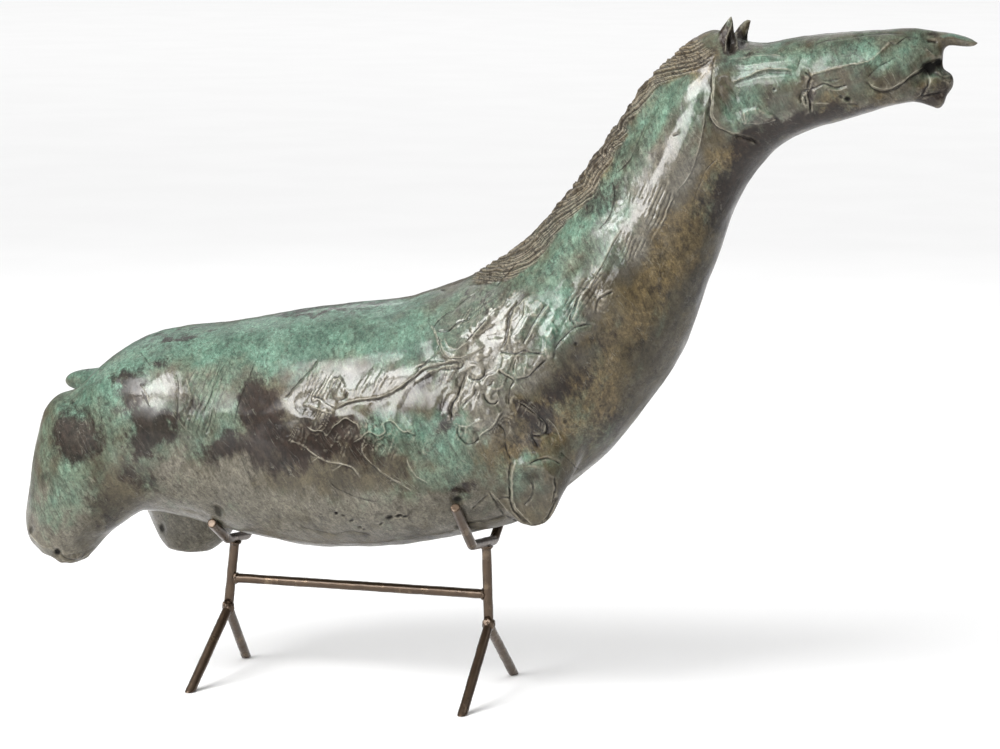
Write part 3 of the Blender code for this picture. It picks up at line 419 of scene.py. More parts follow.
def axes():
    """The camera's right, up and forward directions."""
    turn, tilt = math.radians(AZIMUTH), math.radians(ELEVATION)
    right = np.array((math.cos(turn), math.sin(turn), 0))
    ahead = np.array((-math.sin(turn) * math.cos(tilt), math.cos(turn) * math.cos(tilt), -math.sin(tilt)))
    return right, np.cross(right, ahead), ahead


def picture(points):
    """Pixels of the photograph that places in metres fall on."""
    right, up, ahead = axes()
    offset = points - np.array(EYE)
    scale = WIDE * LENS / SENSOR / (offset @ ahead)
    return np.stack((WIDE / 2 + scale * (offset @ right), TALL / 2 - scale * (offset @ up)), axis=1)


# Turns places so that the strokes of the modelling tool run along the first axis
STROKE_TURN = np.array(((0.42, 0, 0.91), (0, 1, 0), (-0.91, 0, 0.42)))


def across(offset, degrees):
    """Parts of the offsets along an axis that is turned by so many degrees, and across it."""
    turn = math.radians(degrees)
    return (offset @ np.array((math.cos(turn), math.sin(turn))),
            offset @ np.array((-math.sin(turn), math.cos(turn))))


class Noise:
    """Smooth lattice noise between -1 and 1."""

    SIDE = 48

    def __init__(self, seed):
        self.table = np.random.default_rng(seed).uniform(-1, 1, (self.SIDE,) * 3)

    def __call__(self, places, size):
        scaled = places / size + self.SIDE * 4
        cell = np.floor(scaled).astype(int)
        part = scaled - cell
        part = part * part * (3 - 2 * part)
        total = np.zeros(len(places))
        for corner in itertools.product((0, 1), repeat=3):
            share = np.prod(np.where(np.array(corner), part, 1 - part), axis=1)
            x, y, z = ((cell + corner) % self.SIDE).T
            total += share * self.table[x, y, z]
        return total


def smooth(values, low, high):
    """0 below low, 1 above high, and soft between."""
    part = np.clip((values - low) / (high - low), 0, 1)
    return part * part * (3 - 2 * part)


def curve(points, steps=4):
    """Points on a smooth curve through the given ones."""
    points = np.array(points, dtype=float)
    padded = np.vstack((2 * points[0] - points[1], points, 2 * points[-1] - points[-2]))
    part = np.arange(steps)[:, None] / steps
    runs = []
    for before, start, end, after in zip(padded, padded[1:], padded[2:], padded[3:]):
        runs.append(0.5 * (2 * start + (end - before) * part
                           + (2 * before - 5 * start + 4 * end - after) * part ** 2
                           + (3 * start - before - 3 * end + after) * part ** 3))
    return np.vstack((*runs, points[-1:]))


# Columns of the painted shade in cracks and of the painted highlight along edges
CRACK_SHADE, EDGE_HIGHLIGHT = 0, 2          # columns of a skin's lines
MANE, COMB = 0, 2           # columns of its strands


class Skin:
    """Points and normals of a mesh, with what is carved into them, in metres."""

    def __init__(self, mesh):
        self.mesh = mesh
        count = len(mesh.vertices)
        flat = np.empty(count * 3, dtype=np.float32)
        mesh.vertices.foreach_get("co", flat)
        self.points = flat.reshape(-1, 3).astype(float)
        flat = np.empty(count * 3, dtype=np.float32)
        mesh.vertices.foreach_get("normal", flat)
        self.normals = flat.reshape(-1, 3).astype(float)
        self.push = np.zeros(count)
        # Painted shade inside pits and holes
        self.dark = np.zeros(count)
        # For the material: gap to a crack, where shade is painted, and its share; gap to an edge, where a
        # highlight is painted, and its share
        self.lines = np.tile((99.0, 0.0, 99.0, 0.0), (count, 1))
        # For the material: phase and share of the mane's strands and of combed strokes
        self.strands = np.zeros((count, 4))

    def settle(self):
        """Move the points along their normals by what was carved."""
        moved = self.points + self.normals * self.push[:, None]
        self.mesh.vertices.foreach_set("co", moved.astype(np.float32).ravel())
        self.mesh.update()


class Flank:
    """One side of the skin in picture points: the near one, or the far one through a mirror."""

    def __init__(self, skin, mirrored, strength, seed):
        flip = np.array((1, -1 if mirrored else 1, 1))
        points, normals = skin.points * flip, skin.normals * flip
        look = points - np.array(EYE)
        look /= np.linalg.norm(look, axis=1)[:, None]
        weight = smooth(-(normals * look).sum(axis=1), 0.02, 0.25)
        if mirrored:
            weight *= smooth(-points[:, 1], 0.004, 0.03)
        self.skin = skin
        self.ids = np.nonzero(weight > 0.01)[0]
        self.weight = weight[self.ids] * strength
        wobble = Noise(seed)
        here = points[self.ids]
        sway = np.stack((wobble(here, 0.006), wobble(here + 0.31, 0.006)), axis=1)
        sway += np.stack((wobble(here, 0.018), wobble(here + 0.57, 0.018)), axis=1)
        self.spots = picture(here) + sway * (FAR_SWAY if mirrored else NEAR_SWAY)

    def around(self, points, margin):
        """Which of the flank's points lie near some picture points."""
        low, high = points.min(axis=0) - margin, points.max(axis=0) + margin
        return np.nonzero(((self.spots > low) & (self.spots < high)).all(axis=1))[0]

    def measure(self, points, margin):
        """Near a line: which points, how far off it, on which side, how far along, and its length."""
        line = curve(points)
        chosen = self.around(line, margin)
        spots = self.spots[chosen]
        best = np.full(len(chosen), np.inf)
        hand, along, walked = np.zeros(len(chosen)), np.zeros(len(chosen)), 0.0
        for start, end in zip(line, line[1:]):
            length = np.hypot(*(end - start))
            ahead = (end - start) / length
            offset = spots - start
            reach = np.clip(offset @ ahead, 0, length)
            gap = offset - reach[:, None] * ahead
            distance = np.hypot(gap[:, 0], gap[:, 1])
            closer = distance < best
            best[closer] = distance[closer]
            hand[closer] = (ahead[0] * offset[:, 1] - ahead[1] * offset[:, 0])[closer]
            along[closer] = walked + reach[closer]
            walked += length
        return chosen, best, np.sign(hand), along, walked

    def inside(self, corners, margin):
        """Near a closed outline: which points, and how far inside it they are, in pixels."""
        ring = np.vstack((corners, corners[:1])).astype(float)
        chosen = self.around(ring, margin)
        spots = self.spots[chosen]
        best, within = np.full(len(chosen), np.inf), np.zeros(len(chosen), dtype=bool)
        for start, end in zip(ring, ring[1:]):
            run = end - start
            part = np.clip((spots - start) @ run / (run @ run), 0, 1)
            gap = spots - start - part[:, None] * run
            best = np.minimum(best, np.hypot(gap[:, 0], gap[:, 1]))
            crosses = (start[1] > spots[:, 1]) != (end[1] > spots[:, 1])
            if start[1] != end[1]:
                edge = start[0] + (spots[:, 1] - start[1]) * run[0] / run[1]
                within ^= crosses & (spots[:, 0] < edge)
        return chosen, np.where(within, best, -best)

    def add(self, chosen, amount):
        """Carve an amount in mm at the chosen points."""
        self.skin.push[self.ids[chosen]] += amount * self.weight[chosen] * MM

    def mark(self, column, chosen, signed, share):
        """Keep the gap to the nearest drawn line, so that the material can paint sharp shade in a crack or a
        sharp highlight on an edge.
        """
        places, weight = self.ids[chosen], np.minimum(self.weight[chosen] * 1.6, 1)
        share = share * weight * smooth(-np.abs(signed), -5.0, -2.0)
        nearer = (np.abs(signed) < np.abs(self.skin.lines[places, column])) & (share > 0)
        self.skin.lines[places[nearer], column] = signed[nearer]
        self.skin.lines[places[nearer], column + 1] = share[nearer]

    def line(self, width, height, points):
        """A pressed or raised line that fades at its ends."""
        chosen, distance, hand, along, length = self.measure(points, width * 3)
        ends = np.clip(np.minimum(along, length - along) / (width * 2) + 0.25, 0, 1)
        uneven = 0.75 + 0.6 * Noise(9)(self.skin.points[self.ids[chosen]], 0.005) if width < SHARP else 1.0
        self.add(chosen, height * uneven * np.exp(-(distance / width) ** 2) * ends)
        if width < SHARP:
            chosen, distance, hand, along, length = self.measure(points, 6)
            share = smooth(np.minimum(along, length - along), 0, 4) * min(1, 0.45 + 0.35 * abs(height))
            # A raised line gets a painted highlight along it, a pressed one painted shade in its groove
            self.mark(EDGE_HIGHLIGHT if height > 0 else CRACK_SHADE, chosen, distance * hand, share)

    def step(self, height, reach, points):
        """The edge of a slab, which rises on one side of a line and falls away from it."""
        chosen, distance, hand, along, length = self.measure(points, reach)
        ends = smooth(np.minimum(along, length - along), 0, 8)
        signed = distance * hand
        self.add(chosen, height * smooth(signed, -1.2, 1.2) * np.clip(1 - distance / reach, 0, 1) * ends)
        share = smooth(np.minimum(along, length - along), 0, 6) * min(1, 0.4 + 0.3 * height)
        # Painted shade just below the slab's edge, painted highlight along its top
        self.mark(CRACK_SHADE, chosen, signed + 0.9, 0.55 * share)
        self.mark(EDGE_HIGHLIGHT, chosen, signed - 0.9, share)

    def plate(self, height, softness, corners):
        """A flat patch pressed on, or sunk where its height is below 0."""
        chosen, depth = self.inside(corners, softness)
        self.add(chosen, height * smooth(depth, -softness / 2, softness))

    def comb(self, depth, spacing, degrees, corners):
        """A field of side by side tool strokes."""
        chosen, inner = self.inside(corners, 2)
        turn = math.radians(degrees)
        spots = self.spots[chosen]
        phase = (spots @ np.array((math.sin(turn), math.cos(turn)))) / spacing
        places = self.skin.points[self.ids[chosen]]
        phase += 0.7 * Noise(7)(places, 0.035) + 0.25 * Noise(8)(places, 0.009)
        wave = np.abs(np.sin(math.pi * phase)) + 0.7 * np.abs(np.sin(math.pi * phase * 0.37 + 1)) - 1.1
        share = smooth(Noise(12)(places, 0.02), -0.6, 0.2)
        share *= smooth(inner, -1, 8)
        self.add(chosen, 2 * depth * wave * share)
        self.comb_marks(COMB, chosen, phase, np.minimum(share * (0.4 + 1.2 * depth), 1))

    def comb_marks(self, column, chosen, phase, share):
        """Keep a phase of strokes or strands for the material."""
        share = share * np.minimum(self.weight[chosen] * 1.6, 1)
        places = self.ids[chosen]
        stronger = share > self.skin.strands[places, column + 1]
        self.skin.strands[places[stronger], column] = phase[stronger]
        self.skin.strands[places[stronger], column + 1] = share[stronger]

    def torn(self, x, y, long, short, degrees, height):
        """An oval of torn clay, with small ledges."""
        chosen = self.around(np.array(((x, y),)), 1.6 * max(long, short))
        first, second = across(self.spots[chosen] - (x, y), -degrees)
        share = smooth(1.25 - np.hypot(first / long, second / short), 0, 0.6)
        places = self.skin.points[self.ids[chosen]] @ STROKE_TURN.T * (0.55, 0.8, 1.0)
        level = 2.6 * Noise(13)(places, 0.014) + 0.9 * Noise(14)(places, 0.006)
        part = level - np.floor(level)
        ledges = np.floor(level) + smooth(part, 0.70, 1.0) - 0.35 * part
        self.add(chosen, height * share * 0.5 * ledges)

    def hollow(self, x, y, long, short, degrees, depth, pit_shade_strength):
        """A pit or hole, with painted shade inside it."""
        chosen = self.around(np.array(((x, y),)), 3 * max(long, short))
        first, second = across(self.spots[chosen] - (x, y), degrees)
        shape = np.exp(-((first / long) ** 2 + (second / short) ** 2) ** 1.5)
        self.add(chosen, -depth * shape)
        places = self.ids[chosen]
        # Painted shade inside the pit
        dark = pit_shade_strength * smooth(shape, 0.35, 0.85) * (self.weight[chosen] > 0.4)
        self.skin.dark[places] = np.maximum(self.skin.dark[places], dark)

    def mane(self):
        """Strands above the mane's foot line, with notches along the crest."""
        chosen, distance, hand, along, length = self.measure(MANE_FOOT, MANE_REACH)
        above = hand > 0
        ends = smooth(np.minimum(along, length - along), 0, 14)
        rise = smooth(distance * hand, -1.5, 2.5) * smooth(-distance, -MANE_REACH, -MANE_REACH * 0.6)
        turn = math.radians(STRAND_SLANT)
        phase = (distance * math.cos(turn) - along * math.sin(turn)) / STRAND_SPACING
        phase += 0.35 * Noise(11)(self.skin.points[self.ids[chosen]], 0.025)
        phase += 0.12 * Noise(15)(self.skin.points[self.ids[chosen]], 0.008)
        wave = 2 * np.abs(np.sin(math.pi * phase)) + np.abs(np.sin(math.pi * phase * 2.3 + 2)) - 2
        self.add(chosen, ends * rise * (MANE_RISE + STRAND_DEPTH * wave * above))
        self.comb_marks(MANE, chosen, phase, ends * rise * above)
        for x, y, radius in MANE_NOTCHES:
            chosen = self.around(np.array(((x, y),)), 3 * radius)
            away = np.hypot(*(self.spots[chosen] - (x, y)).T) / radius
            self.add(chosen, -1.3 * np.exp(-away ** 2))

    def carve(self, fine):
        """All the marks of one flank; the fine ones are left off the far one."""
        self.mane()
        for row in STEPS:
            self.step(*row)
        for row in TORN:
            self.torn(*row)
        for row in PLATES:
            self.plate(*row)
        for row in COMBS:
            self.comb(*row)
        for width, depth, points in CRACKS:
            self.line(width, -depth, points)
        for width, height, points in RIDGES:
            self.line(width, RIDGE_SHARE * height, points)
        for width, depth, points in VALLEYS:
            self.line(width, -depth, points)
        if fine:
            for row in HOLLOWS:
                self.hollow(*row)


def work_all_over(skin):
    """Uneven clay everywhere: broad swellings, finger marks, drawn strokes and a fine grain."""
    broad, small, strokes = Noise(1), Noise(2), Noise(3)
    drawn = (skin.points @ STROKE_TURN.T) * (0.16, 0.5, 1.0)
    skin.push += MM * (0.7 * broad(skin.points, 0.045) + 0.45 * small(skin.points, 0.017)
                       + 0.34 * strokes(drawn, 0.0070) + 0.10 * small(skin.points + 0.4, 0.0052))


def carve_skin(skin):
    """Carve both flanks and the uneven clay between them."""
    work_all_over(skin)
    Flank(skin, mirrored=False, strength=1.0, seed=NEAR_SEED).carve(fine=True)
    Flank(skin, mirrored=True, strength=FAR_STRENGTH, seed=FAR_SEED).carve(fine=False)


def flank_patches(flank, layers, shine):
    """Add the patina patches of one flank, painted sheen, reflection and shade among them, to its colour
    layers, and its gloss patches to its gloss.
    """
    places = flank.skin.points[flank.ids]
    ragged = np.stack([9 * Noise(seed)(places, 0.030) + 8 * Noise(seed + 2)(places, 0.011)
                       + 4 * Noise(seed + 4)(places, 0.005) for seed in (51, 52)], axis=1)
    weight = np.minimum(flank.weight * 1.3, 1)

    def blot(x, y, long, short, degrees, strength):
        first, second = across(flank.spots + ragged - (x, y), -degrees)
        inside = (np.abs(first) / long) ** 2.6 + (np.abs(second) / short) ** 2.6
        return strength * np.exp(-inside ** 1.2) * weight

    for layer, rows in PATCHES:
        for row in rows:
            layers[flank.ids, layer] += blot(*row)
    for row in SHINE:
        shine[flank.ids] += blot(*row)


def folds(mesh, skin):
    """How sharply the skin folds at each point: above 0 in a crease, below 0 on an edge."""
    edges = np.empty(len(mesh.edges) * 2, dtype=np.int32)
    mesh.edges.foreach_get("vertices", edges)
    first, second = edges.reshape(-1, 2).T
    run = skin.points[second] - skin.points[first]
    total, count = np.zeros(len(skin.points)), np.zeros(len(skin.points))
    length = np.linalg.norm(run, axis=1)
    for here, away in ((first, run), (second, -run)):
        rise = (away * skin.normals[here]).sum(axis=1) / length
        total += np.bincount(here, rise, len(total))
        count += np.bincount(here, minlength=len(count))
    return total / np.maximum(count, 1)


def crest_share(skin):
    """How much each point belongs to the matte top of the mane."""
    x, y = skin.points[:, 0], skin.points[:, 1]
    start, end = CREST_X
    return (smooth(skin.normals[:, 2], 0.1, 0.3) * smooth(-np.abs(y), -CREST_HALF - 0.012, -CREST_HALF)
            * smooth(x, start - 0.05, start) * smooth(-x, -end - 0.03, -end))


def paint_skin(mesh):
    """Write the patina layers, with their painted sheen, and the relief of the finished skin, with its
    painted shade, as colour attributes.
    """
    skin = Skin(mesh)
    carve_skin(skin)
    bend = folds(mesh, skin)
    layers = np.zeros((len(skin.points), 4))
    shine = 0.35 + 0.25 * Noise(71)(skin.points, 0.03)
    flank_patches(Flank(skin, mirrored=False, strength=1.0, seed=NEAR_SEED), layers, shine)
    flank_patches(Flank(skin, mirrored=True, strength=1.0, seed=FAR_SEED), layers, shine)
    up = skin.normals[:, 2]
    layers[:, GREEN] += 0.30 * smooth(up, -0.1, 0.7) + 0.08
    # Paler grey on downward faces is the pale floor's painted reflection
    layers[:, GREY_AND_SHEEN] += 0.25 * smooth(-up, 0.1, 0.8) + 0.10
    layers[:, BROWN] += 0.12 * smooth(-up, 0.2, 0.9)
    drawn = (skin.points @ STROKE_TURN.T) * (0.3, 0.6, 1.0)
    for layer in range(4):
        seed = 60 + layer
        layers[:, layer] += (0.14 * Noise(seed)(skin.points, 0.045) + 0.16 * Noise(seed)(drawn, 0.014)
                             + 0.13 * Noise(seed)(drawn + 0.2, 0.006))
    # Relief: painted shade in folds and pressed hollows, rubbed convex edges, painted shade in pits, and
    # gloss
    relief = np.zeros((len(skin.points), 4))
    relief[:, 0] = np.maximum(0.8 * smooth(bend, 0.03, 0.20), 0.7 * smooth(-skin.push / MM, 1.2, 3.2))
    relief[:, 1] = smooth(-bend, 0.03, 0.20)
    relief[:, 2] = skin.dark
    crest = crest_share(skin)
    layers[:, BROWN] += 0.45 * crest
    layers[:, OCHRE] += 0.30 * crest
    layers[:, GREEN] -= 0.25 * crest
    matte = np.maximum(crest, np.clip(skin.strands[:, MANE + 1], 0, 1))
    relief[:, 3] = shine * (1 - 0.85 * matte)
    layers, relief = np.clip(layers, 0, 1), np.clip(relief, 0, 1)
    attributes = (("wash", layers), ("relief", relief), ("lines", skin.lines), ("strands", skin.strands))
    for name, values in attributes:
        attribute = mesh.attributes.new(name, "FLOAT_COLOR", "POINT")
        attribute.data.foreach_set("color", values.astype(np.float32).ravel())


# Making of the pieces

def add_object(name, data):
    """A new object in the scene."""
    made = bpy.data.objects.new(name, data)
    bpy.context.scene.collection.objects.link(made)
    return made


def copy_node(name, piece_name):
    """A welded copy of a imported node, as a new object."""
    shape = bmesh.new()
    shape.from_mesh(frame["nodes"][name].data)
    bmesh.ops.remove_doubles(shape, verts=shape.verts, dist=1e-6)
    mesh = bpy.data.meshes.new(piece_name)
    shape.to_mesh(mesh)
    shape.free()
    return add_object(piece_name, mesh)


def bake(piece):
    """Replace a piece's mesh by its evaluated one."""
    depsgraph = bpy.context.evaluated_depsgraph_get()
    mesh = bpy.data.meshes.new_from_object(piece.evaluated_get(depsgraph))
    piece.modifiers.clear()
    piece.data = mesh


def refine(piece, cell, rounds, levels):
    """Round off the facets and lay an even mesh over a piece."""
    divide = piece.modifiers.new("divide", "SUBSURF")
    divide.levels = divide.render_levels = levels
    mesher = piece.modifiers.new("mesher", "REMESH")
    mesher.mode = "VOXEL"
    mesher.voxel_size = cell
    soften = piece.modifiers.new("soften", "SMOOTH")
    soften.factor, soften.iterations = 0.5, rounds
    bake(piece)


def thin_out(piece, triangles):
    """Collapse a piece to about so many triangles, keeping them where the surface bends."""
    thin = piece.modifiers.new("thin", "DECIMATE")
    thin.ratio = min(1, triangles / sum(len(face.vertices) - 2 for face in piece.data.polygons))
    bake(piece)
    piece.data.shade_smooth()


def settle_piece(piece, slot_name, finish, *nodes):
    """Give a piece its material and its body, and hide the nodes that it stands for; its slot name is not
    used.
    """
    piece.data.materials.clear()
    piece.data.materials.append(finish)
    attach(piece, "root")
    if nodes:
        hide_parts(*nodes)


def make_horse(finish):
    """The worked skin of the horse."""
    horse = copy_node("horse", "horse_skin")
    refine(horse, SKIN_CELL, 10, 1)
    skin = Skin(horse.data)
    carve_skin(skin)
    skin.settle()
    thin_out(horse, SKIN_TRIANGLES)
    paint_skin(horse.data)
    settle_piece(horse, "patinated_bronze", finish, "horse")


def make_bars(finish):
    """The bars of the stand, slightly uneven, as forged and ground bar is."""
    wear = Noise(WEAR_SEED)
    for node in frame["nodes"]:
        if node == "horse":
            continue
        bar = copy_node(node, node + "_bar")
        refine(bar, BAR_CELL, 2, 0)
        skin = Skin(bar.data)
        skin.push = MM * (0.16 * wear(skin.points, 0.011) + 0.10 * wear(skin.points + 0.2, 0.0042))
        skin.settle()
        bar.data.shade_smooth()
        settle_piece(bar, "brown_bar", finish, node)


def make_weld(name, place, radii, finish, seed):
    """A lumpy weld bead round a joint."""
    shape = bmesh.new()
    bmesh.ops.create_icosphere(shape, subdivisions=5, radius=1)
    mesh = bpy.data.meshes.new(name)
    shape.to_mesh(mesh)
    shape.free()
    skin = Skin(mesh)
    lumps = Noise(seed)
    swell = 1 + 0.16 * lumps(skin.points, 0.55) + 0.06 * lumps(skin.points, 0.2)
    moved = skin.points * swell[:, None] * np.array(radii) + np.array(place)
    mesh.vertices.foreach_set("co", moved.astype(np.float32).ravel())
    mesh.update()
    mesh.shade_smooth()
    settle_piece(add_object(name, mesh), "brown_bar", finish)


def make_welds(finish):
    """Beads where legs, crossbar and cradles meet the posts."""
    rear_bend_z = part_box("rear_cradle")[0].z + 0.008
    lift = (CROSSBAR_Z - JOINT_Z) / (rear_bend_z - JOINT_Z)
    rear_cross_x = REAR_JOINT_X + lift * (REAR_TOP_X - REAR_JOINT_X)
    beads = (
        ("front_leg_weld", (FRONT_X, MIDDLE_Y, JOINT_Z + 0.0005), (0.0064, 0.0066, 0.0078)),
        ("rear_leg_weld", (REAR_JOINT_X, MIDDLE_Y, JOINT_Z + 0.0005), (0.0064, 0.0066, 0.0078)),
        ("front_crossbar_weld", (FRONT_X - 0.0055, MIDDLE_Y, CROSSBAR_Z), (0.0034, 0.0058, 0.0062)),
        ("rear_crossbar_weld", (rear_cross_x + 0.0055, MIDDLE_Y, CROSSBAR_Z), (0.0034, 0.0058, 0.0062)),
        ("front_cradle_weld", (FRONT_X - 0.002, MIDDLE_Y, FRONT_TOP_Z - 0.0050), (0.0058, 0.0072, 0.0034)),
        ("rear_cradle_weld", (REAR_TOP_X, MIDDLE_Y, rear_bend_z - 0.0045), (0.0058, 0.0072, 0.0034)),
    )
    for seed, (name, place, radii) in enumerate(beads):
        make_weld(name, place, radii, finish, BEAD_SEED + seed)


# Materials

def tint(red, green, blue):
    """A linear colour from values between 0 and 255 as they look on screen."""
    parts = []
    for value in (red, green, blue):
        share = value / 255
        parts.append(share / 12.92 if share <= 0.04045 else ((share + 0.055) / 1.055) ** 2.4)
    return (*parts, 1.0)


class Graph:
    """Short ways to build a node material."""

    def __init__(self, name):
        self.material = bpy.data.materials.new(name)
        self.material.use_nodes = True
        self.tree = self.material.node_tree
        self.shader = self.tree.nodes["Principled BSDF"]
        self.place = self.node("ShaderNodeTexCoord").outputs["Object"]

    def node(self, kind, **settings):
        made = self.tree.nodes.new(kind)
        for key, value in settings.items():
            setattr(made, key, value)
        return made

    def feed(self, socket, value):
        if isinstance(value, bpy.types.NodeSocket):
            self.tree.links.new(value, socket)
        else:
            socket.default_value = value

    def math(self, operation, first, second=0.0, third=0.0):
        made = self.node("ShaderNodeMath", operation=operation)
        for socket, value in zip(made.inputs, (first, second, third)):
            self.feed(socket, value)
        return made.outputs[0]

    def times(self, *values):
        total = values[0]
        for value in values[1:]:
            total = self.math("MULTIPLY", total, value)
        return total

    def attribute(self, name):
        """The red, green, blue and alpha of a colour attribute."""
        made = self.node("ShaderNodeAttribute", attribute_name=name)
        split = self.node("ShaderNodeSeparateColor")
        self.feed(split.inputs[0], made.outputs["Color"])
        return (*[split.outputs[part] for part in range(3)], made.outputs["Alpha"])

    def noise(self, scale, detail=4, rough=0.6, warp=0.0, place=None):
        made = self.node("ShaderNodeTexNoise")
        self.feed(made.inputs["Vector"], place or self.place)
        for key, value in (("Scale", scale), ("Detail", detail), ("Roughness", rough), ("Distortion", warp)):
            made.inputs[key].default_value = value
        return made.outputs["Fac"]

    def drawn(self, turn, stretch):
        """Object places turned in the upright plane and stretched, for strokes."""
        made = self.node("ShaderNodeMapping", vector_type="TEXTURE")
        self.feed(made.inputs["Vector"], self.place)
        made.inputs["Rotation"].default_value = (0, math.radians(turn), 0)
        made.inputs["Scale"].default_value = stretch
        return made.outputs["Vector"]

    def ramp(self, value, low, high, to_low=0.0, to_high=1.0):
        made = self.node("ShaderNodeMapRange", interpolation_type="SMOOTHSTEP")
        for socket, part in zip(made.inputs, (value, low, high, to_low, to_high)):
            self.feed(socket, part)
        return made.outputs["Result"]

    def mix(self, share, under, over, how="MIX"):
        made = self.node("ShaderNodeMix", data_type="RGBA", blend_type=how)
        self.feed(made.inputs["Factor"], share)
        self.feed(made.inputs[6], under)
        self.feed(made.inputs[7], over)
        return made.outputs[2]

    def bump(self, height, strength, distance, under=None):
        made = self.node("ShaderNodeBump")
        made.inputs["Strength"].default_value = strength
        made.inputs["Distance"].default_value = distance
        self.feed(made.inputs["Height"], height)
        if under is not None:
            self.feed(made.inputs["Normal"], under)
        return made.outputs["Normal"]

    def finish(self, color, rough, metal, normal, coat, coat_rough, coat_normal=None):
        for key, value in (("Base Color", color), ("Roughness", rough), ("Metallic", metal),
                           ("Normal", normal), ("Coat Weight", coat), ("Coat Roughness", coat_rough),
                           ("Coat Normal", coat_normal)):
            if value is not None:
                self.feed(self.shader.inputs[key], value)
        return self.material


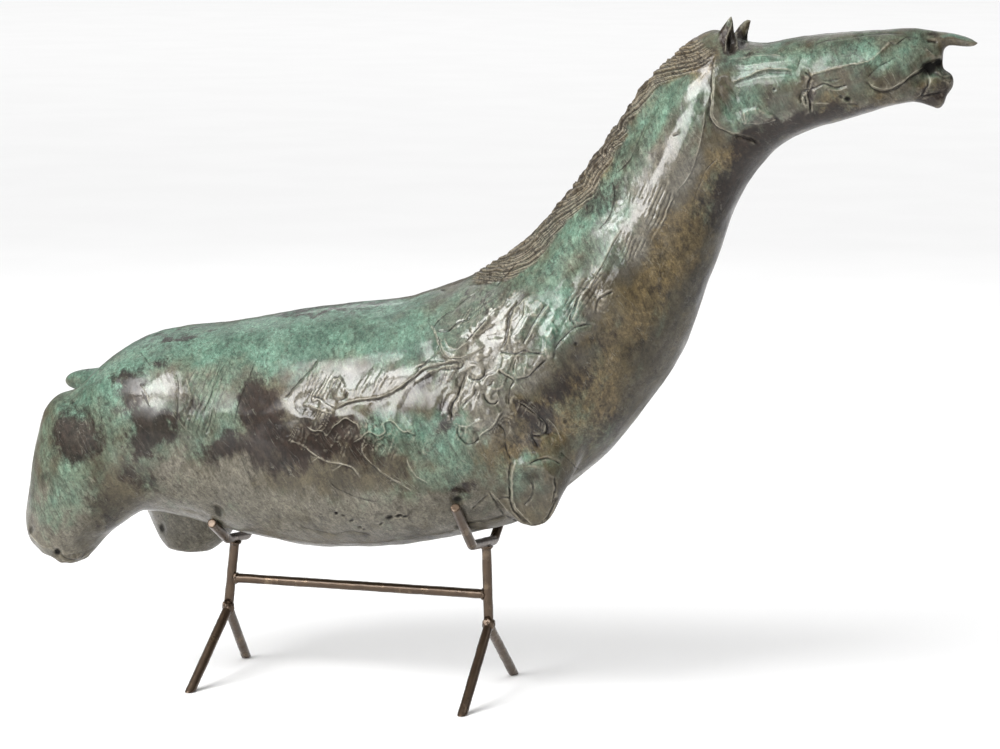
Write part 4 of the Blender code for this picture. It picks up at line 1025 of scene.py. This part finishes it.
def patina():
    """Waxed bronze: brown metal under green, grey and ochre washes that break up into each other; the grey
    wash also paints sheen and the floor's reflection, and shade and highlights are painted along cracks,
    folds, troughs, pits and edges.
    """
    g = Graph("waxed_patina")
    green_wash, brown_wash, grey_and_sheen_wash, ochre_wash = g.attribute("wash")
    # Relief: painted shade in folds, rubbed edges, painted shade in pits, and gloss
    fold_shade, rubbed, dark, shine = g.attribute("relief")
    crack_shade_gap, crack_shade_share, edge_highlight_gap, edge_highlight_share = g.attribute("lines")
    mane_phase, mane_share, comb_phase, comb_share = g.attribute("strands")

    clouds = g.noise(17, 8, 0.68, 0.6)
    blots = g.noise(62, 7, 0.7, 0.4)
    grain = g.ramp(g.noise(260, 6, 0.8, 0.0, g.drawn(65, (2.2, 1.2, 1))), 0.30, 0.70)
    strokes = g.noise(150, 5, 0.65, 0.3, g.drawn(65, (6, 1.5, 1)))
    fine = g.noise(900, 2, 0.5)
    breaks = g.ramp(g.noise(75, 4, 0.7), 0.36, 0.58, 0.15, 1.0)

    def drawn_line(gap, share, width):
        """A line that comes and goes, so many pixels wide."""
        near = g.ramp(g.math("ABSOLUTE", gap), 0.2 * width, width, 1.0, 0.0)
        return g.times(near, g.times(share, breaks))

    def troughs(phase, share, low, high):
        """Painted shade in the gaps between strands or strokes."""
        wave = g.math("ABSOLUTE", g.math("SINE", g.times(phase, math.pi)))
        return g.times(g.ramp(wave, low, high, 1.0, 0.0), share)

    def hairs(scale, turn, length, width):
        """Thin drawn lines: where a stretched noise crosses its middle."""
        value = g.noise(scale, 2, 0.5, 0.2, g.drawn(turn, (length, 1.5, 1)))
        return g.ramp(g.math("ABSOLUTE", g.math("SUBTRACT", value, 0.5)), 0.0, width, 1.0, 0.0)

    def layer(amount, cloud_share, blot_share, stroke_share, low, high):
        """A wash with ragged edges, from how much of it there is at each place."""
        value = g.math("MULTIPLY_ADD", clouds, cloud_share, amount)
        value = g.math("MULTIPLY_ADD", blots, blot_share, value)
        value = g.math("MULTIPLY_ADD", strokes, stroke_share, value)
        half = (cloud_share + blot_share + stroke_share) / 2
        return g.ramp(value, low + half, high + half)

    # Painted shade in cracks and below slab edges, painted highlight along raised edges
    crack_shade = drawn_line(crack_shade_gap, crack_shade_share, CRACK_SHADE_WIDTH)
    edges = drawn_line(edge_highlight_gap, edge_highlight_share, EDGE_HIGHLIGHT_WIDTH)
    # Painted shade in the troughs between mane strands and combed strokes
    trough_shade = g.math("MAXIMUM", troughs(mane_phase, mane_share, 0.0, 0.34),
                     g.times(troughs(comb_phase, comb_share, 0.05, 0.40), 0.7))
    # Grey wash: partly grey patina, partly painted sheen and the floor's painted reflection
    grey = layer(grey_and_sheen_wash, 0.4, -0.5, 0.6, 0.15, 0.80)
    brown = layer(g.math("MULTIPLY_ADD", grain, -0.25, brown_wash), -0.7, -0.8, -0.6, 0.05, 0.60)

    # Washes from the bottom up: share, deep tint, pale tint
    color = g.mix(blots, tint(50, 43, 30), tint(98, 90, 70))
    for share, deep, pale in (
            (layer(ochre_wash, 0.5, 0.4, -0.4, 0.10, 0.70), (66, 55, 34), (124, 107, 72)),
            # Grey: painted sheen and floor reflection as well as patina
            (grey, (74, 70, 60), (116, 111, 98)),
            (layer(green_wash, 0.7, 0.5, 0.5, 0.18, 0.70), (60, 76, 62), (110, 124, 105)),
            (layer(green_wash, 0.9, 0.8, 0.4, 0.55, 1.10), (64, 96, 80), (116, 146, 127)),
            (g.times(brown, 0.94), (16, 10, 7), (48, 34, 27)),
            (g.times(mane_share, 0.55), (36, 27, 21), (108, 95, 78))):
        color = g.mix(share, color, g.mix(grain, tint(*deep), tint(*pale)))

    # Uneven darkening
    soot = g.ramp(g.noise(26, 9, 0.74, 0.5), 0.36, 0.62, g.ramp(grey, 0.2, 1.0, 0.50, 0.78), 0.97)
    soot = g.times(soot, g.ramp(strokes, 0.32, 0.62, 0.80, 1.08))
    soot = g.times(soot, g.ramp(g.noise(480, 4, 0.7), 0.35, 0.65, 0.78, 1.14))
    shade = g.node("ShaderNodeCombineColor")
    for socket in shade.inputs[:3]:
        g.feed(socket, soot)
    color = g.mix(1.0, color, shade.outputs[0], "MULTIPLY")

    # Marks on top of the washes: share, strength, tint
    scratches = g.math("MAXIMUM", g.times(hairs(120, 65, 5, 0.022), g.ramp(clouds, 0.42, 0.60, 0.15, 0.8)),
                       g.times(hairs(95, 128, 4, 0.014), g.ramp(blots, 0.46, 0.60, 0.0, 0.7)))
    glints = g.times(hairs(135, 50, 6, 0.012), g.ramp(blots, 0.40, 0.56, 0.6, 0.0))
    for share, strength, over in (
            (g.ramp(g.noise(210, 3, 0.6), 0.58, 0.68), 0.5, (38, 32, 26)),
            (scratches, 0.7, (34, 28, 22)), (glints, 0.35, (160, 158, 142)),
            # Painted shade in folds, hollows and the troughs between strands; paler rubbed edges
            (fold_shade, 0.85, (30, 24, 18)), (rubbed, 0.35, (168, 160, 142)), (trough_shade, 0.85, (26, 21, 16)),
            (g.times(hairs(150, 42, 6, 0.035), mane_share), 0.75, (24, 19, 15)),
            # Painted highlight along edges, painted shade in cracks and in pits
            (edges, 0.42, (186, 182, 164)), (crack_shade, 0.9, (16, 12, 9)), (dark, 1.0, (10, 8, 6))):
        color = g.mix(g.times(share, strength), color, tint(*over))

    rough = g.math("MULTIPLY_ADD", dark, 0.3, g.ramp(blots, 0.3, 0.7, 0.34, 0.55))
    coat = g.times(g.math("MINIMUM", shine, 1.0), g.ramp(fold_shade, 0, 1, 1.0, 0.35))
    coat = g.times(coat, g.ramp(dark, 0, 1, 1.0, 0.1))
    waxed = g.bump(strokes, 0.35, 0.0008)
    waxed = g.bump(scratches, -0.5, 0.0003, waxed)
    waxed = g.bump(g.math("SUBTRACT", edges, crack_shade), 0.7, 0.0008, waxed)
    waxed = g.bump(trough_shade, -0.7, 0.0009, waxed)
    normal = g.bump(blots, 0.5, 0.0016, waxed)
    normal = g.bump(grain, 0.5, 0.0003, normal)
    normal = g.bump(fine, 0.3, 0.0002, normal)
    g.shader.inputs["Specular IOR Level"].default_value = 0.2
    return g.finish(color, rough, g.ramp(brown, 0, 1, 0.12, 0.35), normal, coat, 0.12, waxed)


def bar_bronze():
    """Brown bar bronze with paler rubbed streaks and dark specks."""
    g = Graph("brown_bar_bronze")
    clouds = g.noise(60, 5, 0.6)
    streaks = g.noise(160, 4, 0.6, 0.2, g.drawn(0, (2, 2, 3)))
    specks = g.noise(520, 3, 0.6)
    color = g.mix(clouds, tint(56, 43, 33), tint(92, 76, 60))
    color = g.mix(g.ramp(streaks, 0.54, 0.72, 0, 0.45), color, tint(134, 116, 94))
    color = g.mix(g.ramp(specks, 0.60, 0.72, 0, 0.7), color, tint(44, 35, 28))
    rough = g.ramp(streaks, 0.35, 0.7, 0.40, 0.24)
    normal = g.bump(specks, 0.35, 0.0004, g.bump(clouds, 0.4, 0.0010))
    return g.finish(color, rough, 0.8, normal, 0.3, 0.15)


def plain(name, color, rough):
    """A plain finish for the floor."""
    g = Graph(name)
    soft = g.noise(3, 2, 0.5)
    shade = g.mix(g.ramp(soft, 0.3, 0.7), color, tuple(0.985 * part for part in color[:3]) + (1.0,))
    g.shader.inputs["Specular IOR Level"].default_value = 0.0
    return g.finish(shade, rough, 0.0, g.bump(soft, 0.02, 0.001), 0.0, 0.1)


# Stage

def make_camera():
    """The camera of the photograph."""
    right, up, ahead = axes()
    data = bpy.data.cameras.new("camera")
    data.lens, data.sensor_width, data.sensor_fit = LENS, SENSOR, "HORIZONTAL"
    data.clip_end = 200
    camera = add_object("camera", data)
    rows = zip(right, up, -ahead, EYE)
    camera.matrix_world = Matrix([*(tuple(row) for row in rows), (0, 0, 0, 1)])
    bpy.context.scene.camera = camera


def make_floor():
    """A wide pale floor."""
    shape = bmesh.new()
    bmesh.ops.create_grid(shape, x_segments=8, y_segments=8, size=FLOOR_SIZE)
    mesh = bpy.data.meshes.new("floor")
    shape.to_mesh(mesh)
    shape.free()
    floor = add_object("floor", mesh)
    floor.location.z = FLOOR_DROP
    mesh.materials.append(plain("pale_floor", (FLOOR_GREY, FLOOR_GREY, FLOOR_GREY, 1.0), 0.9))


def make_light(name, azimuth, elevation, distance, width, height, power, target):
    """A soft box that looks at the object; its azimuth is counted as the camera's."""
    data = bpy.data.lights.new(name, "AREA")
    data.shape, data.size, data.size_y, data.energy = "RECTANGLE", width, height, power
    light = add_object(name, data)
    turn, lift = math.radians(azimuth), math.radians(elevation)
    back = Vector((math.sin(turn) * math.cos(lift), -math.cos(turn) * math.cos(lift), math.sin(lift)))
    light.location = Vector(target) + back * distance
    light.rotation_mode = "QUATERNION"
    light.rotation_quaternion = back.to_track_quat("Z", "Y")


def make_stage():
    """Floor, soft boxes, a pale surround and the camera."""
    make_floor()
    for row in LIGHTS:
        make_light(*row)
    world = bpy.data.worlds.new("surround")
    world.use_nodes = True
    tree = world.node_tree
    place = tree.nodes.new("ShaderNodeTexCoord")
    height = tree.nodes.new("ShaderNodeSeparateXYZ")
    sky = tree.nodes.new("ShaderNodeMapRange")
    tree.links.new(place.outputs["Generated"], height.inputs[0])
    tree.links.new(height.outputs["Z"], sky.inputs["Value"])
    tree.links.new(sky.outputs["Result"], tree.nodes["Background"].inputs["Strength"])
    for socket, value in zip(sky.inputs, (0.0, SKY_FROM, SKY_TO, SKY_LOW, SKY_HIGH)):
        if not socket.is_linked:
            socket.default_value = value
    tree.nodes["Background"].inputs["Color"].default_value = (1.0, 1.0, 1.0, 1.0)
    bpy.context.scene.world = world
    bpy.context.scene.view_settings.view_transform = "Standard"
    make_camera()


make_horse(patina())
bars = bar_bronze()
make_bars(bars)
make_welds(bars)
make_stage()
